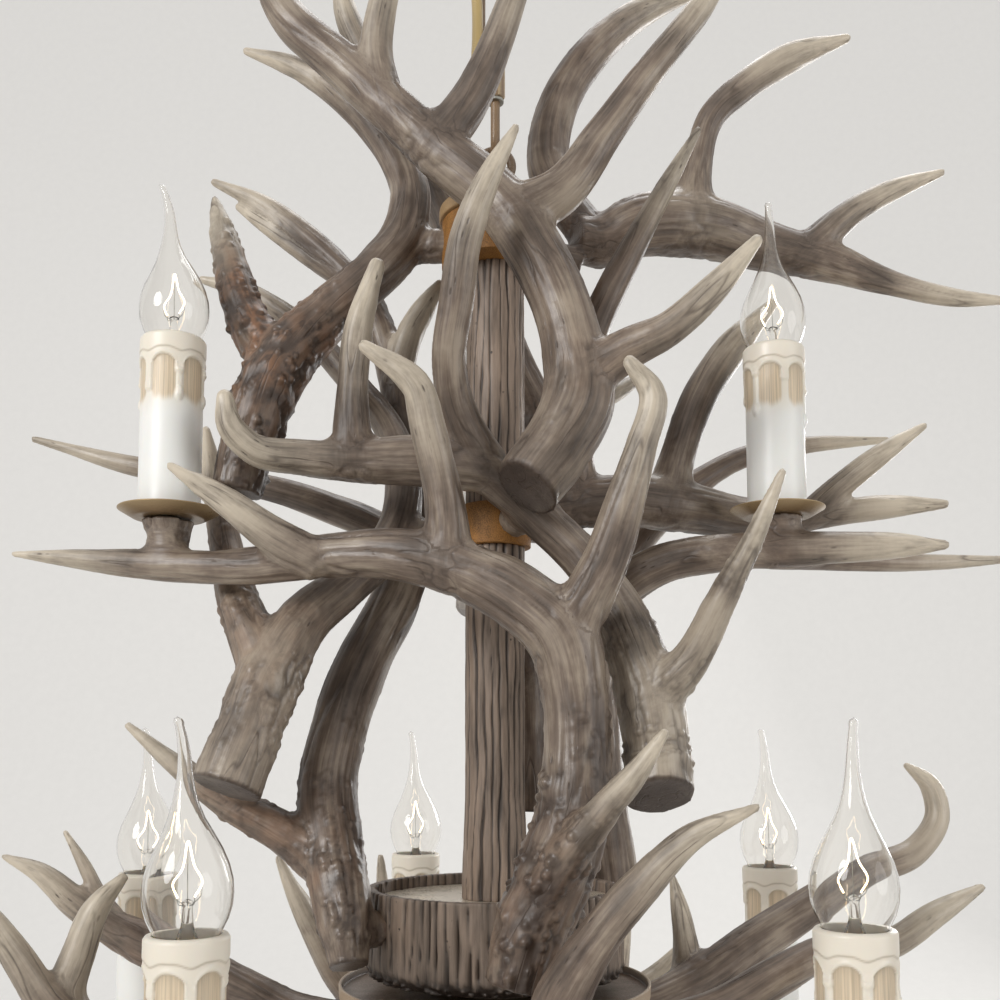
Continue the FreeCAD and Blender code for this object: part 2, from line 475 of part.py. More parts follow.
# Stations are x, y, height against the hub lid's top face, and radius, in carving steps of a millimetre. A beam runs
# from its sawn base to its tip. At each lug the casting reaches in to the column and a stud holds it. "carries" names
# the candle that stands on it, with the station its boss rises from.
ANTLERS = {
    "upper_front_antler": {
        "beam": [(13, -64, -172, 16.7), (27, -61, -152, 17.3), (40, -58, -126, 17.9), (38, -56, -96, 15.2),
                 (25, -50, -55, 14.9), (5, -46, -21, 14.6), (-33, -44, 14, 13.2), (-77, -40, 57, 11.4),
                 (-110, -36, 91, 9.9), (-123, -32, 131, 6.9), (-118, -30, 166, 2.4)],
        "tines": [[(43, -58, -114, 12.1), (63, -66, -102, 10.1), (82, -74, -95, 8.5), (103, -82, -78, 7),
                   (121, -90, -59, 2.8)],
                  [(10, -46, -25, 13.6), (33, -50, -14, 11.5), (54, -54, 13, 9.5), (75, -58, 41, 7.7),
                   (106, -60, 81, 6), (122, -60, 110, 2)],
                  [(-32, -44, 11, 12.2), (-11, -46, 39, 10.2), (1, -48, 66, 8.4), (9, -50, 88, 7.4),
                   (24, -52, 129, 2.3)],
                  [(-56, -43, 36, 10.7), (-61, -44, 65, 8.7), (-57, -46, 90, 7.4), (-46, -48, 126, 2.3)]],
        "lugs": [(4, -46, -20)]},
    "upper_left_antler": {
        "beam": [(-132, -26, -162, 12.8), (-126, -24, -134, 14.9), (-112, -20, -93, 16.7), (-90, -14, -65, 13.8),
                 (-66, -10, -41, 13.4), (-51, 0, -16, 12.6), (-47, 6, 10, 11.6), (-59, 12, 44, 10.7),
                 (-87, 18, 78, 8.6), (-119, 24, 101, 5.8), (-145, 28, 112, 2.3)],
        "tines": [[(-115, -18, -93, 14.3), (-130, -14, -68, 11.4), (-141, -5, -38, 9.8), (-150, 2, -9, 6.7),
                   (-155, 6, 10, 2.3)]],
        "lugs": [(-51, 0, -19)]},
    "upper_right_antler": {
        "beam": [(45, 20, -6, 12.5), (59, 24, -6, 14.2), (82, 24, 4, 17.1), (115, 30, 7, 17.8),
                 (157, 38, -1, 14), (193, 36, -12, 11.6), (227, 28, -28, 6.8), (260, 20, -40, 5.1),
                 (286, 14, -44, 2.2)],
        "tines": [[(54, 26, -2, 11.4), (31, 40, 49, 12.3), (39, 48, 95, 12), (60, 54, 130, 10.9),
                   (89, 60, 158, 8.6), (127, 64, 175, 2.5)],
                  [(112, 28, 11, 14.3), (116, 26, 42, 9.2), (124, 24, 69, 8), (143, 20, 86, 8.6),
                   (168, 16, 100, 8), (199, 12, 109, 2.6)],
                  [(183, 36, -3, 11), (204, 32, 15, 8.1), (227, 28, 27, 6.3), (255, 24, 36, 2.3)]],
        "lugs": [(46, 20, -19)]},
    "upper_back_antler": {
        "beam": [(34, 62, -148, 15.5), (26, 60, -108, 16), (8, 56, -63, 14), (-10, 50, -20, 14),
                 (-30, 62, 32, 13), (-58, 70, 95, 10.5), (-82, 74, 139, 8.5), (-95, 72, 171, 7),
                 (-98, 66, 197, 2.5)],
        "tines": [[(20, 58, -93, 12), (52, 74, -83, 9), (74, 86, -72, 6.5), (92, 96, -59, 2.4)],
                  [(-12, 52, -13, 13), (0, 90, 5, 11), (8, 130, 27, 9), (10, 165, 62, 7), (4, 185, 97, 2.5)]],
        "lugs": [(-9, 48, -20)]},
    "front_stem_antler": {
        "beam": [(10, -86, -396, 14.5), (16, -86, -372, 16.7), (26, -85, -348, 17.7), (34, -84, -326, 16.9),
                 (37, -82, -297, 15.3), (36, -80, -266, 15.4), (30, -80, -241, 16.8), (12, -78, -224, 15.6),
                 (-14, -74, -210, 13.9), (-44, -68, -202, 12.7), (-78, -60, -201, 10.5), (-119, -50, -204, 9.2),
                 (-161, -40, -202, 8.4), (-203, -32, -198, 6), (-244, -26, -194, 1.8)],
        "tines": [[(16, -88, -365, 13.2), (31, -98, -339, 9.9), (45, -108, -320, 7.2), (59, -116, -303, 5.4),
                   (71, -120, -286, 2.1)],
                  [(37, -82, -234, 13.6), (50, -90, -208, 10.8), (58, -96, -184, 9.4), (65, -100, -160, 7.5),
                   (70, -102, -135, 6), (60, -104, -122, 3.3)],
                  [(-21, -72, -211, 13), (-23, -78, -178, 9.7), (-30, -84, -147, 8.3), (-36, -88, -127, 7.1),
                   (-59, -92, -110, 3)],
                  [(-83, -60, -204, 10), (-105, -66, -192, 9), (-126, -72, -177, 7), (-150, -78, -162, 2.1)]],
        "lugs": [(12, -86, -385)],
        "carries": {"upper_left": (-161, -39, -201, 8.4)}},
    "crossing_antler": {
        "beam": [(77, -62, -322, 16.7), (76, -60, -298, 15.9), (73, -58, -269, 16.5), (65, -52, -240, 13.9),
                 (50, -39, -207, 11.4), (22, -32, -175, 11.1), (-2, -36, -153, 11.6), (-18, -48, -128, 9.9),
                 (-22, -60, -107, 8.7), (-18, -70, -79, 8.4), (-13, -78, -51, 8), (-1, -84, -22, 5.6),
                 (10, -86, -2, 2.1)],
        "tines": [[(73, -60, -270, 13.2), (90, -72, -252, 9.2), (103, -84, -225, 7), (114, -94, -202, 5.3),
                   (127, -102, -171, 2)],
                  [(-6, -37, -152, 12.2), (-35, -39, -149, 13.3), (-67, -42, -150, 11.4), (-96, -46, -149, 8.9),
                   (-118, -56, -147, 7.8), (-127, -62, -138, 6.7), (-129, -64, -125, 4.3)],
                  [(-71, -42, -147, 10.9), (-71, -44, -114, 8.2), (-68, -46, -84, 7.5), (-59, -48, -52, 4)]],
        "lugs": [(21, -32, -174)]},
    "left_outer_antler": {
        "beam": [(-125, -62, -311, 16.8), (-118, -54, -287, 16.6), (-110, -44, -259, 17), (-95, -30, -228, 13.5),
                 (-75, -14, -206, 12.4), (-54, -4, -182, 11.2), (-50, 8, -146, 9.8), (-59, 24, -115, 9),
                 (-83, 34, -82, 8), (-114, 42, -47, 7), (-145, 48, -25, 5.9), (-174, 52, -15, 2.4)],
        "tines": [[(-112, -42, -252, 14.2), (-130, -26, -217, 10.6), (-143, -3, -182, 8.5),
                   (-152, 6, -148, 6.5), (-158, 10, -119, 2.5)]],
        "lugs": [(-54, -4, -180)]},
    "left_stem_antler": {
        "beam": [(-68, -52, -394, 9.4), (-72, -42, -372, 14), (-80, -26, -342, 15.2), (-85, -16, -313, 15.2),
                 (-80, -8, -280, 15), (-70, 4, -246, 14.8), (-54, 20, -209, 13.6), (-45, 32, -172, 11.6),
                 (-50, 42, -122, 10.3), (-59, 50, -77, 10), (-78, 58, -25, 9.6), (-110, 64, 12, 8.5),
                 (-142, 70, 40, 6.1), (-174, 74, 57, 2.5)],
        "tines": [[(-82, -25, -350, 13.4), (-103, -26, -335, 10.9), (-132, -26, -319, 8.5), (-159, -28, -300, 5.5),
                   (-182, -30, -281, 2)],
                  [(-91, 60, -10, 7.8), (-119, 66, 10, 6.1), (-143, 70, 28, 4.3), (-159, 74, 41, 2.2)],
                  [(-58, 48, -80, 9.4), (-50, 42, -52, 8.2), (-40, 34, -38, 6.5), (-32, 31, -27, 3)]],
        "lugs": [(-72, -42, -380)]},
    "right_upper_antler": {
        "beam": [(22, 16, -163, 11), (41, 18, -159, 13.2), (69, 18, -156, 14.9), (102, 24, -158, 14.4),
                 (136, 37, -161, 12.4), (166, 42, -161, 10.2), (195, 40, -158, 7.9), (222, 34, -156, 7),
                 (251, 27, -156, 2.8)],
        "tines": [[(44, 18, -156, 12.1), (44, 14, -123, 9.9), (46, 4, -93, 8.7), (55, -6, -63, 8.6),
                   (71, -9, -30, 7.5), (91, -12, 7, 5.4), (109, -14, 39, 2.2)],
                  [(95, 23, -155, 13.3), (103, 25, -126, 10.1), (116, 28, -93, 10.2), (134, 32, -65, 9.7),
                   (160, 38, -36, 3.5)],
                  [(179, 41, -159, 8.5), (197, 34, -143, 7.3), (216, 26, -128, 6.2), (239, 22, -113, 2.2)]],
        "lugs": [(26, 12, -172)]},
    "right_stem_antler": {
        "beam": [(66, 64, -390, 16.5), (64, 60, -361, 17), (58, 53, -321, 16.6), (54, 44, -282, 16.4), (52, 28, -243, 14.9),
                 (64, 18, -211, 12.6), (91, 6, -193, 11.3), (119, -2, -189, 10.6), (150, -6, -188, 10),
                 (184, -14, -188, 8.3), (209, -18, -188, 6.7), (231, -20, -188, 2.6)],
        "tines": [[(145, -6, -189, 9.5), (192, 10, -191, 5.9), (234, 22, -190, 5), (290, 34, -186, 2)]],
        "lugs": [(62, 60, -385), (52, 30, -225)],
        "carries": {"upper_right": (150, -5, -188, 10)}},
    "back_stem_antler": {
        "beam": [(21, 46, -327, 12.9), (21, 46, -287, 13), (17, 44, -242, 12.5), (5, 42, -208, 12.5),
                 (-17, 48, -187, 11.4), (-49, 60, -173, 10.4), (-85, 58, -156, 9.9), (-121, 58, -143, 8.2),
                 (-162, 60, -133, 7.1), (-210, 62, -126, 6.2), (-274, 62, -109, 2.1)],
        "tines": [[(20, 46, -248, 12), (44, 62, -229, 11.5), (65, 64, -196, 11), (92, 68, -159, 10.2),
                   (120, 72, -134, 8.4), (148, 76, -117, 6.7), (186, 80, -108, 5.5), (240, 84, -103, 2.2)],
                  [(4, 44, -210, 12), (-4, 90, -203, 11.5), (-14, 140, -196, 11), (-20, 185, -190, 8.5),
                   (-26, 225, -172, 2.5)]],
        "lugs": [(4, 42, -204)],
        "carries": {"upper_back": (-16, 158, -193, 10)}},
    "low_left_antler": {
        "beam": [(-30, 12, -441, 12.2), (-78, 26, -440, 12.3), (-110, 28, -434, 12.4), (-137, 28, -422, 12.4),
                 (-165, 28, -407, 12.4), (-191, 26, -396, 11.3), (-209, 22, -385, 9.1), (-226, 18, -372, 8),
                 (-241, 14, -358, 5.8), (-259, 10, -349, 1.8)],
        "tines": [[(-203, 24, -387, 7.5), (-212, 22, -372, 4.8), (-221, 22, -355, 3.7), (-232, 22, -337, 1.6)],
                  [(-78, 27, -441, 11.5), (-120, 42, -460, 11), (-165, 55, -471, 11), (-201, 65, -473, 11),
                   (-234, 76, -461, 8), (-256, 84, -440, 2.6)]],
        "lugs": [(-36, 14, -441)],
        "carries": {"lower_left": (-201, 65, -471, 11)}},
    "low_front_left_antler": {
        "beam": [(-18, -26, -440, 12), (-30, -66, -437, 11.4), (-57, -88, -426, 10.8), (-84, -106, -421, 9.6),
                 (-117, -121, -416, 9.2), (-152, -128, -411, 8.7), (-169, -132, -391, 7.9), (-165, -130, -372, 6.4),
                 (-159, -128, -355, 5.2), (-151, -124, -345, 2.4)],
        "tines": [[(-158, -131, -408, 8.3), (-174, -140, -390, 7.4), (-184, -145, -372, 6.2), (-196, -150, -352, 3.9),
                   (-204, -152, -339, 1.8)],
                  [(-54, -86, -428, 10.6), (-74, -108, -452, 11), (-96, -130, -468, 11.5), (-117, -150, -473, 11.5),
                   (-136, -168, -473, 8.5), (-149, -180, -466, 3)]],
        "lugs": [(-18, -26, -440)],
        "carries": {"lower_front_left": (-116, -149, -471, 11.5)}},
    "low_front_right_antler": {
        "beam": [(22, -28, -443, 12), (32, -66, -441, 11.8), (50, -92, -430, 11.4), (70, -101, -412, 10.4),
                 (95, -104, -402, 9.2), (122, -100, -388, 8.5), (145, -94, -379, 7.4), (171, -88, -378, 6.7),
                 (195, -84, -365, 5.7), (217, -80, -354, 2)],
        "tines": [[(33, -72, -440, 12), (26, -100, -424, 12.6), (27, -112, -400, 12), (43, -124, -368, 9.3),
                   (59, -132, -347, 8), (77, -140, -328, 6), (102, -148, -315, 1.8)],
                  [(50, -90, -434, 11), (96, -112, -460, 11), (142, -136, -473, 12), (174, -151, -462, 8.5),
                   (198, -160, -440, 2.6)]],
        "lugs": [(22, -28, -443)],
        "carries": {"lower_front_right": (142, -136, -471, 12)}},
    "low_right_antler": {
        "beam": [(36, 16, -442, 12), (78, 30, -433, 12), (112, 40, -420, 13.2), (147, 46, -398, 12.2),
                 (182, 50, -377, 10.7), (212, 54, -361, 9.1), (239, 56, -350, 8), (253, 58, -330, 6.9),
                 (250, 60, -313, 5.8), (238, 62, -302, 2.3)],
        "tines": [[(107, 42, -425, 11), (107, 52, -402, 7.3), (105, 58, -384, 5.7), (101, 62, -363, 1.6)],
                  [(76, 31, -437, 11.5), (112, 58, -461, 11.5), (145, 83, -472, 12), (166, 97, -473, 12),
                   (196, 114, -461, 8.5), (220, 128, -438, 2.6)]],
        "lugs": [(36, 16, -442)],
        "carries": {"lower_right": (165, 97, -471, 12)}},
    "low_back_right_antler": {
        "beam": [(12, 38, -441, 12), (30, 90, -455, 12.5), (50, 138, -468, 12.5), (66, 178, -472, 11.5),
                 (77, 205, -470, 10), (87, 228, -449, 8), (93, 242, -420, 6), (96, 248, -393, 2.5)],
        "tines": [[(40, 112, -462, 11), (72, 122, -450, 8.5), (104, 134, -432, 6), (122, 142, -415, 2.5)]],
        "lugs": [(12, 38, -441)],
        "carries": {"lower_back_right": (66, 178, -470, 11)}},
    "low_back_left_antler": {
        "beam": [(-12, 38, -441, 12), (-32, 84, -455, 12.5), (-46, 130, -468, 12.5), (-55, 182, -472, 11.5),
                 (-62, 209, -470, 10), (-71, 231, -449, 8), (-79, 246, -420, 6), (-84, 252, -393, 2.5)],
        "tines": [[(-36, 92, -456, 11), (-74, 82, -443, 10.5), (-90, 76, -424, 9.4), (-104, 72, -400, 7.5),
                   (-116, 70, -377, 5.2), (-126, 70, -356, 2.4)],
                  [(-80, 81, -437, 8.5), (-102, 90, -412, 6.8), (-115, 91, -385, 5.2), (-127, 88, -364, 2.2)],
                  [(-44, 120, -465, 10), (-60, 122, -440, 8), (-66, 114, -410, 6), (-69, 106, -380, 4.4),
                   (-70, 100, -358, 2.2)]],
        "lugs": [(-12, 38, -441)],
        "carries": {"lower_back_left": (-55, 181, -470, 11)}},
}


# The heights of the hubs, the drum and the plate that the antlers are drawn for, from the lid's top down.
DRAWN_LEVELS = [0, -33, -164, -186, -363, -406, -417, -468]


def fitted(height):
    """A drawn height where the hubs, the drum and the plate stand now: an antler stretches with the column."""
    drawn = [size("carving_step") * value for value in DRAWN_LEVELS]
    now = [0, hub_low(), middle_high(), middle_low(), -size("drum_drop"), drum_low(), plate_low(), lower_hub_low()]
    height *= size("carving_step")
    if height >= drawn[0]:
        return height
    for high, low, high_now, low_now in zip(drawn, drawn[1:], now, now[1:]):
        if height >= low:
            return low_now + (high_now - low_now) * (height - low) / (high - low)
    return height - drawn[-1] + now[-1]


def carved(stations, sides=TINE_SIDES):
    """One beam, tine, lug or boss: flats round a path, its width set by the radii."""
    step = size("carving_step")
    centres = [Vector(x * step, y * step, fitted(height)) for x, y, height, radius in stations]
    radii = [radius * step for x, y, height, radius in stations]
    return skin(tube_rings(centres, radii, sides))


def seat_way():
    """The space of the turned pieces on the column, which every antler is fitted round."""
    solids = [turned(size("lid_radius"), -size("lid_thick"), 0),
              turned(size("hub_radius"), hub_low(), 0),
              bark_upper(), bark_lower(),
              turned(size("middle_hub_radius"), middle_low(), middle_high()),
              drum_outside(),
              turned(size("plate_radius") + size("rim_thick"), plate_low(), plate_low() + size("rim_height"),
                     PLATE_SIDES),
              turned(size("lower_hub_radius"), lower_hub_low(), plate_low())]
    return solids[0].fuse(solids[1:])


def seat_radius(height):
    """The radius of the turned piece that a lug at this height meets."""
    if height > hub_low():
        return size("hub_radius")
    if middle_low() < height < middle_high():
        return size("middle_hub_radius")
    if drum_low() < height < -size("drum_drop"):
        return size("drum_radius")
    if height < plate_low():
        return size("lower_hub_radius")
    return size("bark_radius")


def stud(lug):
    """A stud along a lug, half in the casting and half in what carries it. In the hollow drum it has a head."""
    x, y, drawn_height = lug
    height = fitted(drawn_height)
    out = Vector(x, y, 0).normalize()
    seat = seat_radius(height)
    surface = out * seat + Vector(0, 0, height)
    inner = size("stud_length") / 2
    if seat == size("drum_radius"):
        inner = size("drum_wall")
    if seat == size("bark_radius"):
        inner = size("bark_radius") - size("pipe_radius")
    length = inner + size("stud_length") / 2
    shank = prism_along(size("stud_radius"), surface - out * inner, out * length, STUD_SIDES)
    if seat != size("drum_radius"):
        return shank
    back = surface - out * (inner + size("stud_head_thick"))
    return shank.fuse(prism_along(size("stud_head_radius"), back, out * size("stud_head_thick"), STUD_SIDES))


STUDS = []


def drilled(solid):
    """The solid with a hole for each stud that reaches into it."""
    near = [one for one in STUDS if one.BoundBox.intersect(solid.BoundBox)]
    return solid.cut(near) if near else solid


def candle_place(name):
    """The centre of a candle's foot, against the hub lid's top face."""
    turn = math.radians(size(name + "_angle"))
    reach = size(name + "_reach")
    tier = {"middle_hub": middle_high(), "lower_hub": plate_low()}[CANDLES[name][0]]
    return Vector(reach * math.cos(turn), reach * math.sin(turn), tier + size(name + "_rise"))


def boss(candle, start):
    """The neck that rises from an antler to the floor of a candle's saucer."""
    x, y, height, radius = start
    step = size("carving_step")
    foot = candle_place(candle)
    top = foot - Vector(0, 0, size("saucer_floor"))
    width = size("sleeve_bore")
    centres = [Vector(x * step, y * step, fitted(height)), top - Vector(0, 0, 5), top]
    return skin(tube_rings(centres, [radius * step, width * 0.9, width], TINE_SIDES))


def antler(name, form):
    pieces = [carved(form["beam"], BEAM_SIDES)] + [carved(tine) for tine in form["tines"]]
    lug_radius = size("lug_radius") / size("carving_step")
    for x, y, height in form["lugs"]:
        pieces.append(carved([(x, y, height, lug_radius), (x * 0.02, y * 0.02, height, lug_radius)]))
    for candle, start in form.get("carries", {}).items():
        pieces.append(boss(candle, start))
    whole = pieces[0].fuse(pieces[1:]).cut(SEATS)
    solids = sorted(whole.Solids, key=lambda solid: solid.Volume)
    feature(name, drilled(solids[-1]), HUB_TOP)


# ---------------------------------------------------------------- candles

# The bulb's glass: height above the sleeve's top and radius, as shares of the bulb's height and widest radius,
# with the sideways lean of the drawn-out tip.
GLASS = [(-0.1, 0.52, 0), (0, 0.72, 0), (0.1, 0.94, 0), (0.22, 1, 0), (0.36, 0.86, 0), (0.5, 0.54, 0),
         (0.66, 0.25, 0), (0.84, 0.14, -0.06), (1, 0.07, -0.2)]


def bulb_solid():
    """A bulb on its screw cap, against the top of its sleeve: rings of flats from the cap up to the bent tip."""
    high = size("bulb_height")
    wide = size("bulb_radius")
    cap_low = -size("cap_drop")
    stations = [(cap_low, size("cap_radius"), 0), (cap_low + size("cap_length"), size("cap_radius"), 0)]
    stations += [(high * height, wide * width, wide * lean) for height, width, lean in GLASS]
    rings = []
    for height, radius, lean in stations:
        ring = []
        for k in range(CANDLE_SIDES):
            turn = 2 * math.pi * k / CANDLE_SIDES
            ring.append(Vector(radius * math.cos(turn) + lean, radius * math.sin(turn), height))
        rings.append(ring)
    return skin(rings)


def saucer_solid():
    """A candle's saucer, against the foot of its sleeve."""
    wide, floor, lip = size("saucer_radius"), size("saucer_floor"), size("saucer_lip")
    dish = spun([(0.72 * wide, -floor), (wide, lip)], CANDLE_SIDES)
    return dish.cut(spun([(0.7 * wide, 0), (wide - 0.8, lip), (wide - 0.8, lip + 1)], CANDLE_SIDES))


def candle(name):
    turn = "sizes.%s_angle * pi / 180" % name
    x = "sizes.%s_reach * cos(%s * 1rad)" % (name, turn)
    y = "sizes.%s_reach * sin(%s * 1rad)" % (name, turn)
    foot = "(%s + %s + sizes.%s_rise)" % (HUB_TOP, LEVELS[CANDLES[name][0]], name)
    top = foot + " + sizes.sleeve_height"

    # The sleeve: a plain tube below, a thicker band of wax at the top.
    band = top + " - sizes.wax_band_height"
    outside = join(name + "_sleeve_outside",
                   prism(name + "_tube", CANDLE_SIDES, "sizes.sleeve_radius", "sizes.sleeve_height", x, y, foot),
                   prism(name + "_band", CANDLE_SIDES, "sizes.sleeve_radius + sizes.wax_band",
                         "sizes.wax_band_height", x, y, band))
    bore = prism(name + "_bore", CANDLE_SIDES, "sizes.sleeve_bore", "sizes.sleeve_height + 2", x, y,
                 foot + " - 1")
    node(name + "_sleeve", cut(name + "_sleeve_tube", outside, bore))

    saucer = doc.addObject("Part::Feature", name + "_saucer")
    saucer.Shape = SAUCER
    place(saucer, x, y, foot)

    # The holder's socket is as deep as the bulb's cap reaches into it.
    post = prism(name + "_post", CANDLE_SIDES, "sizes.holder_radius",
                 "sizes.sleeve_height - sizes.holder_drop", x, y, foot)
    socket = prism(name + "_socket", CANDLE_SIDES, "sizes.socket_radius", "sizes.sleeve_height", x, y,
                   top + " - sizes.cap_drop - sizes.socket_clearance")
    holder = cut(name + "_holder", post, socket)

    bulb = doc.addObject("Part::Feature", name + "_lamp")
    bulb.Shape = BULB
    place(bulb, x, y, top)
    node(name + "_bulb", bulb)
    return saucer, holder


# ---------------------------------------------------------------- supply cord

# The cord leaves the canopy's bush, hangs beside the chain and goes into the hub lid.
CORD_TOP = (-24, -9)
CORD_FOOT = (-20, -9)


def supply_cord():
    """Straight runs joined by arcs as large as the runs allow, from inside the canopy to the lid's underside."""
    start = -size("canopy_depth") + size("canopy_wall") + 3
    end = hub_top() - size("lid_thick")
    points = [Vector(*CORD_TOP, start), Vector(*CORD_TOP, -68), Vector(-16, -10, -105), Vector(-10, -9, -142),
              Vector(-9.5, -9.5, -180), Vector(-13, -9, -208), Vector(*CORD_FOOT, end + 32), Vector(*CORD_FOOT, end)]
    edges = []
    begin = points[0]
    radii = []
    for before, corner, after in zip(points, points[1:], points[2:]):
        into = (corner - before).normalize()
        out = (after - corner).normalize()
        half_turn = into.getAngle(out) / 2
        reach = 0.45 * min((corner - before).Length, (after - corner).Length)
        radius = reach / math.tan(half_turn)
        radii.append(round(radius, 1))
        first = corner - into * reach
        last = corner + out * reach
        bulge = (out - into).normalize()
        middle = corner + bulge * (radius / math.cos(half_turn) - radius)
        edges.append(Part.LineSegment(begin, first).toShape())
        edges.append(Part.Arc(first, middle, last).toShape())
        begin = last
    edges.append(Part.LineSegment(begin, points[-1]).toShape())
    path = Part.Wire(edges)
    ring = []
    for k in range(WIRE_SIDES + 1):
        turn = 2 * math.pi * k / WIRE_SIDES
        ring.append(points[0] + Vector(math.cos(turn), math.sin(turn), 0) * size("cord_radius"))
    section = Part.makePolygon(ring)
    tube = path.makePipeShell([section], True, True)
    exact = Part.Face(section).Area * path.Length
    print("supply cord: length %.1f mm, arc radii %s, volume against section times length %.5f"
          % (path.Length, radii, tube.Volume / exact))
    feature("supply_cord", tube)


def hub_top():
    """The height of the hub lid's top face, worked out from the chain above it."""
    rise = 2 * size("wire_radius") + size("link_clearance")
    eye_top = -size("canopy_depth") - size("eye_neck")
    quick_top = eye_top - 2 * size("eye_radius") - 2 * size("link_length") + 3 * rise
    return quick_top - size("quick_length") + rise - 2 * size("eye_radius") - size("hub_eye_neck")


# ---------------------------------------------------------------- the whole

for form in ANTLERS.values():
    STUDS += [stud(lug) for lug in form["lugs"]]
SEATS = seat_way()
BULB = bulb_solid()
SAUCER = saucer_solid()

ceiling_fitting()
chain()
column()
drum_and_plate()
for antler_name, antler_form in ANTLERS.items():
    antler(antler_name, antler_form)
feature("antler_studs", Part.makeCompound(STUDS), HUB_TOP)
dressed = [candle(name) for name in CANDLES]
node("candle_saucers", group("saucer_group", *[saucer for saucer, holder in dressed]))
node("lamp_holders", group("holder_group", *[holder for saucer, holder in dressed]))
supply_cord()

doc.recompute()
for obj in doc.Objects:
    if "Invalid" in obj.State or "Error" in obj.State:
        raise RuntimeError("failed: %s %s" % (obj.Label, obj.State))
for obj in NODES:
    if obj.Shape.isNull() or not obj.Shape.isValid():
        raise RuntimeError("bad shape: %s" % obj.Label)

os.makedirs("parts", exist_ok=True)
for obj in NODES:
    obj.Shape.exportStep("parts/%s.step" % obj.Label)
    print("%s: %d solid(s), %.0f mm3" % (obj.Label, len(obj.Shape.Solids), obj.Shape.Volume))
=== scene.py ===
import math

import bpy
import numpy as np
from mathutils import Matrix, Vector, noise


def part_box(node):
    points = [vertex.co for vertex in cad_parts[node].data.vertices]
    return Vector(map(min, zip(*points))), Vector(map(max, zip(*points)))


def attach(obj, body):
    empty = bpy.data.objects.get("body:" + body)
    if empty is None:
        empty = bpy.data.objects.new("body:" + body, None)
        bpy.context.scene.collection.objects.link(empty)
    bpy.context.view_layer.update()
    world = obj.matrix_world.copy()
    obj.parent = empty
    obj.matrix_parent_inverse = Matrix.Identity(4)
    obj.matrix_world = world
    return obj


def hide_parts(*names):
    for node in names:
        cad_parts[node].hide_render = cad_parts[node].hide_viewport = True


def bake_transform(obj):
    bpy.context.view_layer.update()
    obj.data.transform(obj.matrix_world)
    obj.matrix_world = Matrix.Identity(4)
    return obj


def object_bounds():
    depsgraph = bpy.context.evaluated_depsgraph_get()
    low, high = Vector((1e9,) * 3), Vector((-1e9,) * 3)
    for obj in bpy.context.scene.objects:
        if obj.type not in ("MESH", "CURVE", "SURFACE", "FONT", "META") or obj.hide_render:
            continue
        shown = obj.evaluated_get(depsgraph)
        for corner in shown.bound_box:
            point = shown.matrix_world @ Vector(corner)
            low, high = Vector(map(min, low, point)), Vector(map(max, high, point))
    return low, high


bl_info = {
    "name": "Antler chandelier",
    "version": (1, 0, 0),
    "blender": (4, 5, 0),
    "location": "3D View > Sidebar > Chandelier",
    "description": "Carved antlers, candles, bulbs, column, drum, chain and cord of a hanging chandelier",
    "category": "Object",
}

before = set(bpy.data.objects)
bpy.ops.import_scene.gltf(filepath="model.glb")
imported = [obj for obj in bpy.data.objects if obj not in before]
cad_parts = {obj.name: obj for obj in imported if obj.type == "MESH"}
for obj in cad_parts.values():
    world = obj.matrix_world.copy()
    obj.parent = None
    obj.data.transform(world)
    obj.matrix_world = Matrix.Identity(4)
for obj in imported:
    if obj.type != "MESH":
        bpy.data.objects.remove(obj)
CAD_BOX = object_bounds()

MM = 0.001
CEILING = "ceiling_fitting"
HANGING = "chandelier"

HUB_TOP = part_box("hub_lid")[1][2]

CHAIN_WIRE = 2.5 * MM
EYE_RADIUS = 9 * MM
EYE_DROP = EYE_RADIUS + CHAIN_WIRE
CORD_RADIUS = 3 * MM
BARK_RADIUS = 15.7 * MM
SLEEVE_RADIUS, SLEEVE_BORE = 15.3 * MM, 13.2 * MM
SAUCER_RADIUS = 25 * MM
BULB_TALL = 83 * MM
TIP_START = 0.42  # the share of a bulb's height at which its tip starts to bend
HINGE_HEIGHTS = (-104.75 * MM, -146.5 * MM, -202 * MM)  # where the cord passes the chain's hinges

# The camera: its lens and sensor in millimetres, the lens's shift, its place, and its tilt in degrees.
LENS, SENSOR, LENS_SHIFT = 39.6, 36, 0.15
CAMERA_PLACE = (2.6 * MM, -578 * MM, -560 * MM)
CAMERA_TILT = 5.2

# The soft lights: place in metres from the part's middle, width in metres, and power in watts.
LAMPS = {
    "key": ((-1.5, -1.7, 0.75), 1.1, 34),
    "fill": ((1.9, -1.2, 0.1), 1.4, 12),
    "top": ((0.3, 0.5, 1.5), 1.2, 14),
    "rim": ((1.2, 1.5, 0.2), 0.8, 12),
}

# The dripped wax of a sleeve, in millimetres: the distance from one drip to the next and half an arch's width, and how
# far below the sleeve's top the collar's edge, the arches' tops and the panels' ends lie. Below them, how far each
# drip and the run under it reach, on even and on odd candles.
DRIP_PITCH, ARCH_HALF = 16.2, 6.4
COLLAR_EDGE, ARCH_TOP, PANEL_END = 8.4, 11.8, 34.5
DRIP_ENDS = ((20, 27, 18, 25, 30, 21), (27, 19, 24, 30, 18, 22))
RUN_ENDS = ((34, 45, 0, 36, 0, 33), (43, 0, 35, 0, 38, 0))

# The candles, each with the bend of its bulb's drawn-out tip in millimetres towards +X and -Y.
CANDLES = {
    "upper_left": (-8.5, 0),
    "upper_right": (-1.2, 0),
    "upper_back": (3, 1),
    "lower_front_left": (-5.5, 1),
    "lower_front_right": (1.8, 0),
    "lower_right": (-3.6, -1),
    "lower_back_right": (-2.5, 1),
    "lower_back_left": (-4, 0),
    "lower_left": (-3.4, 1),
}

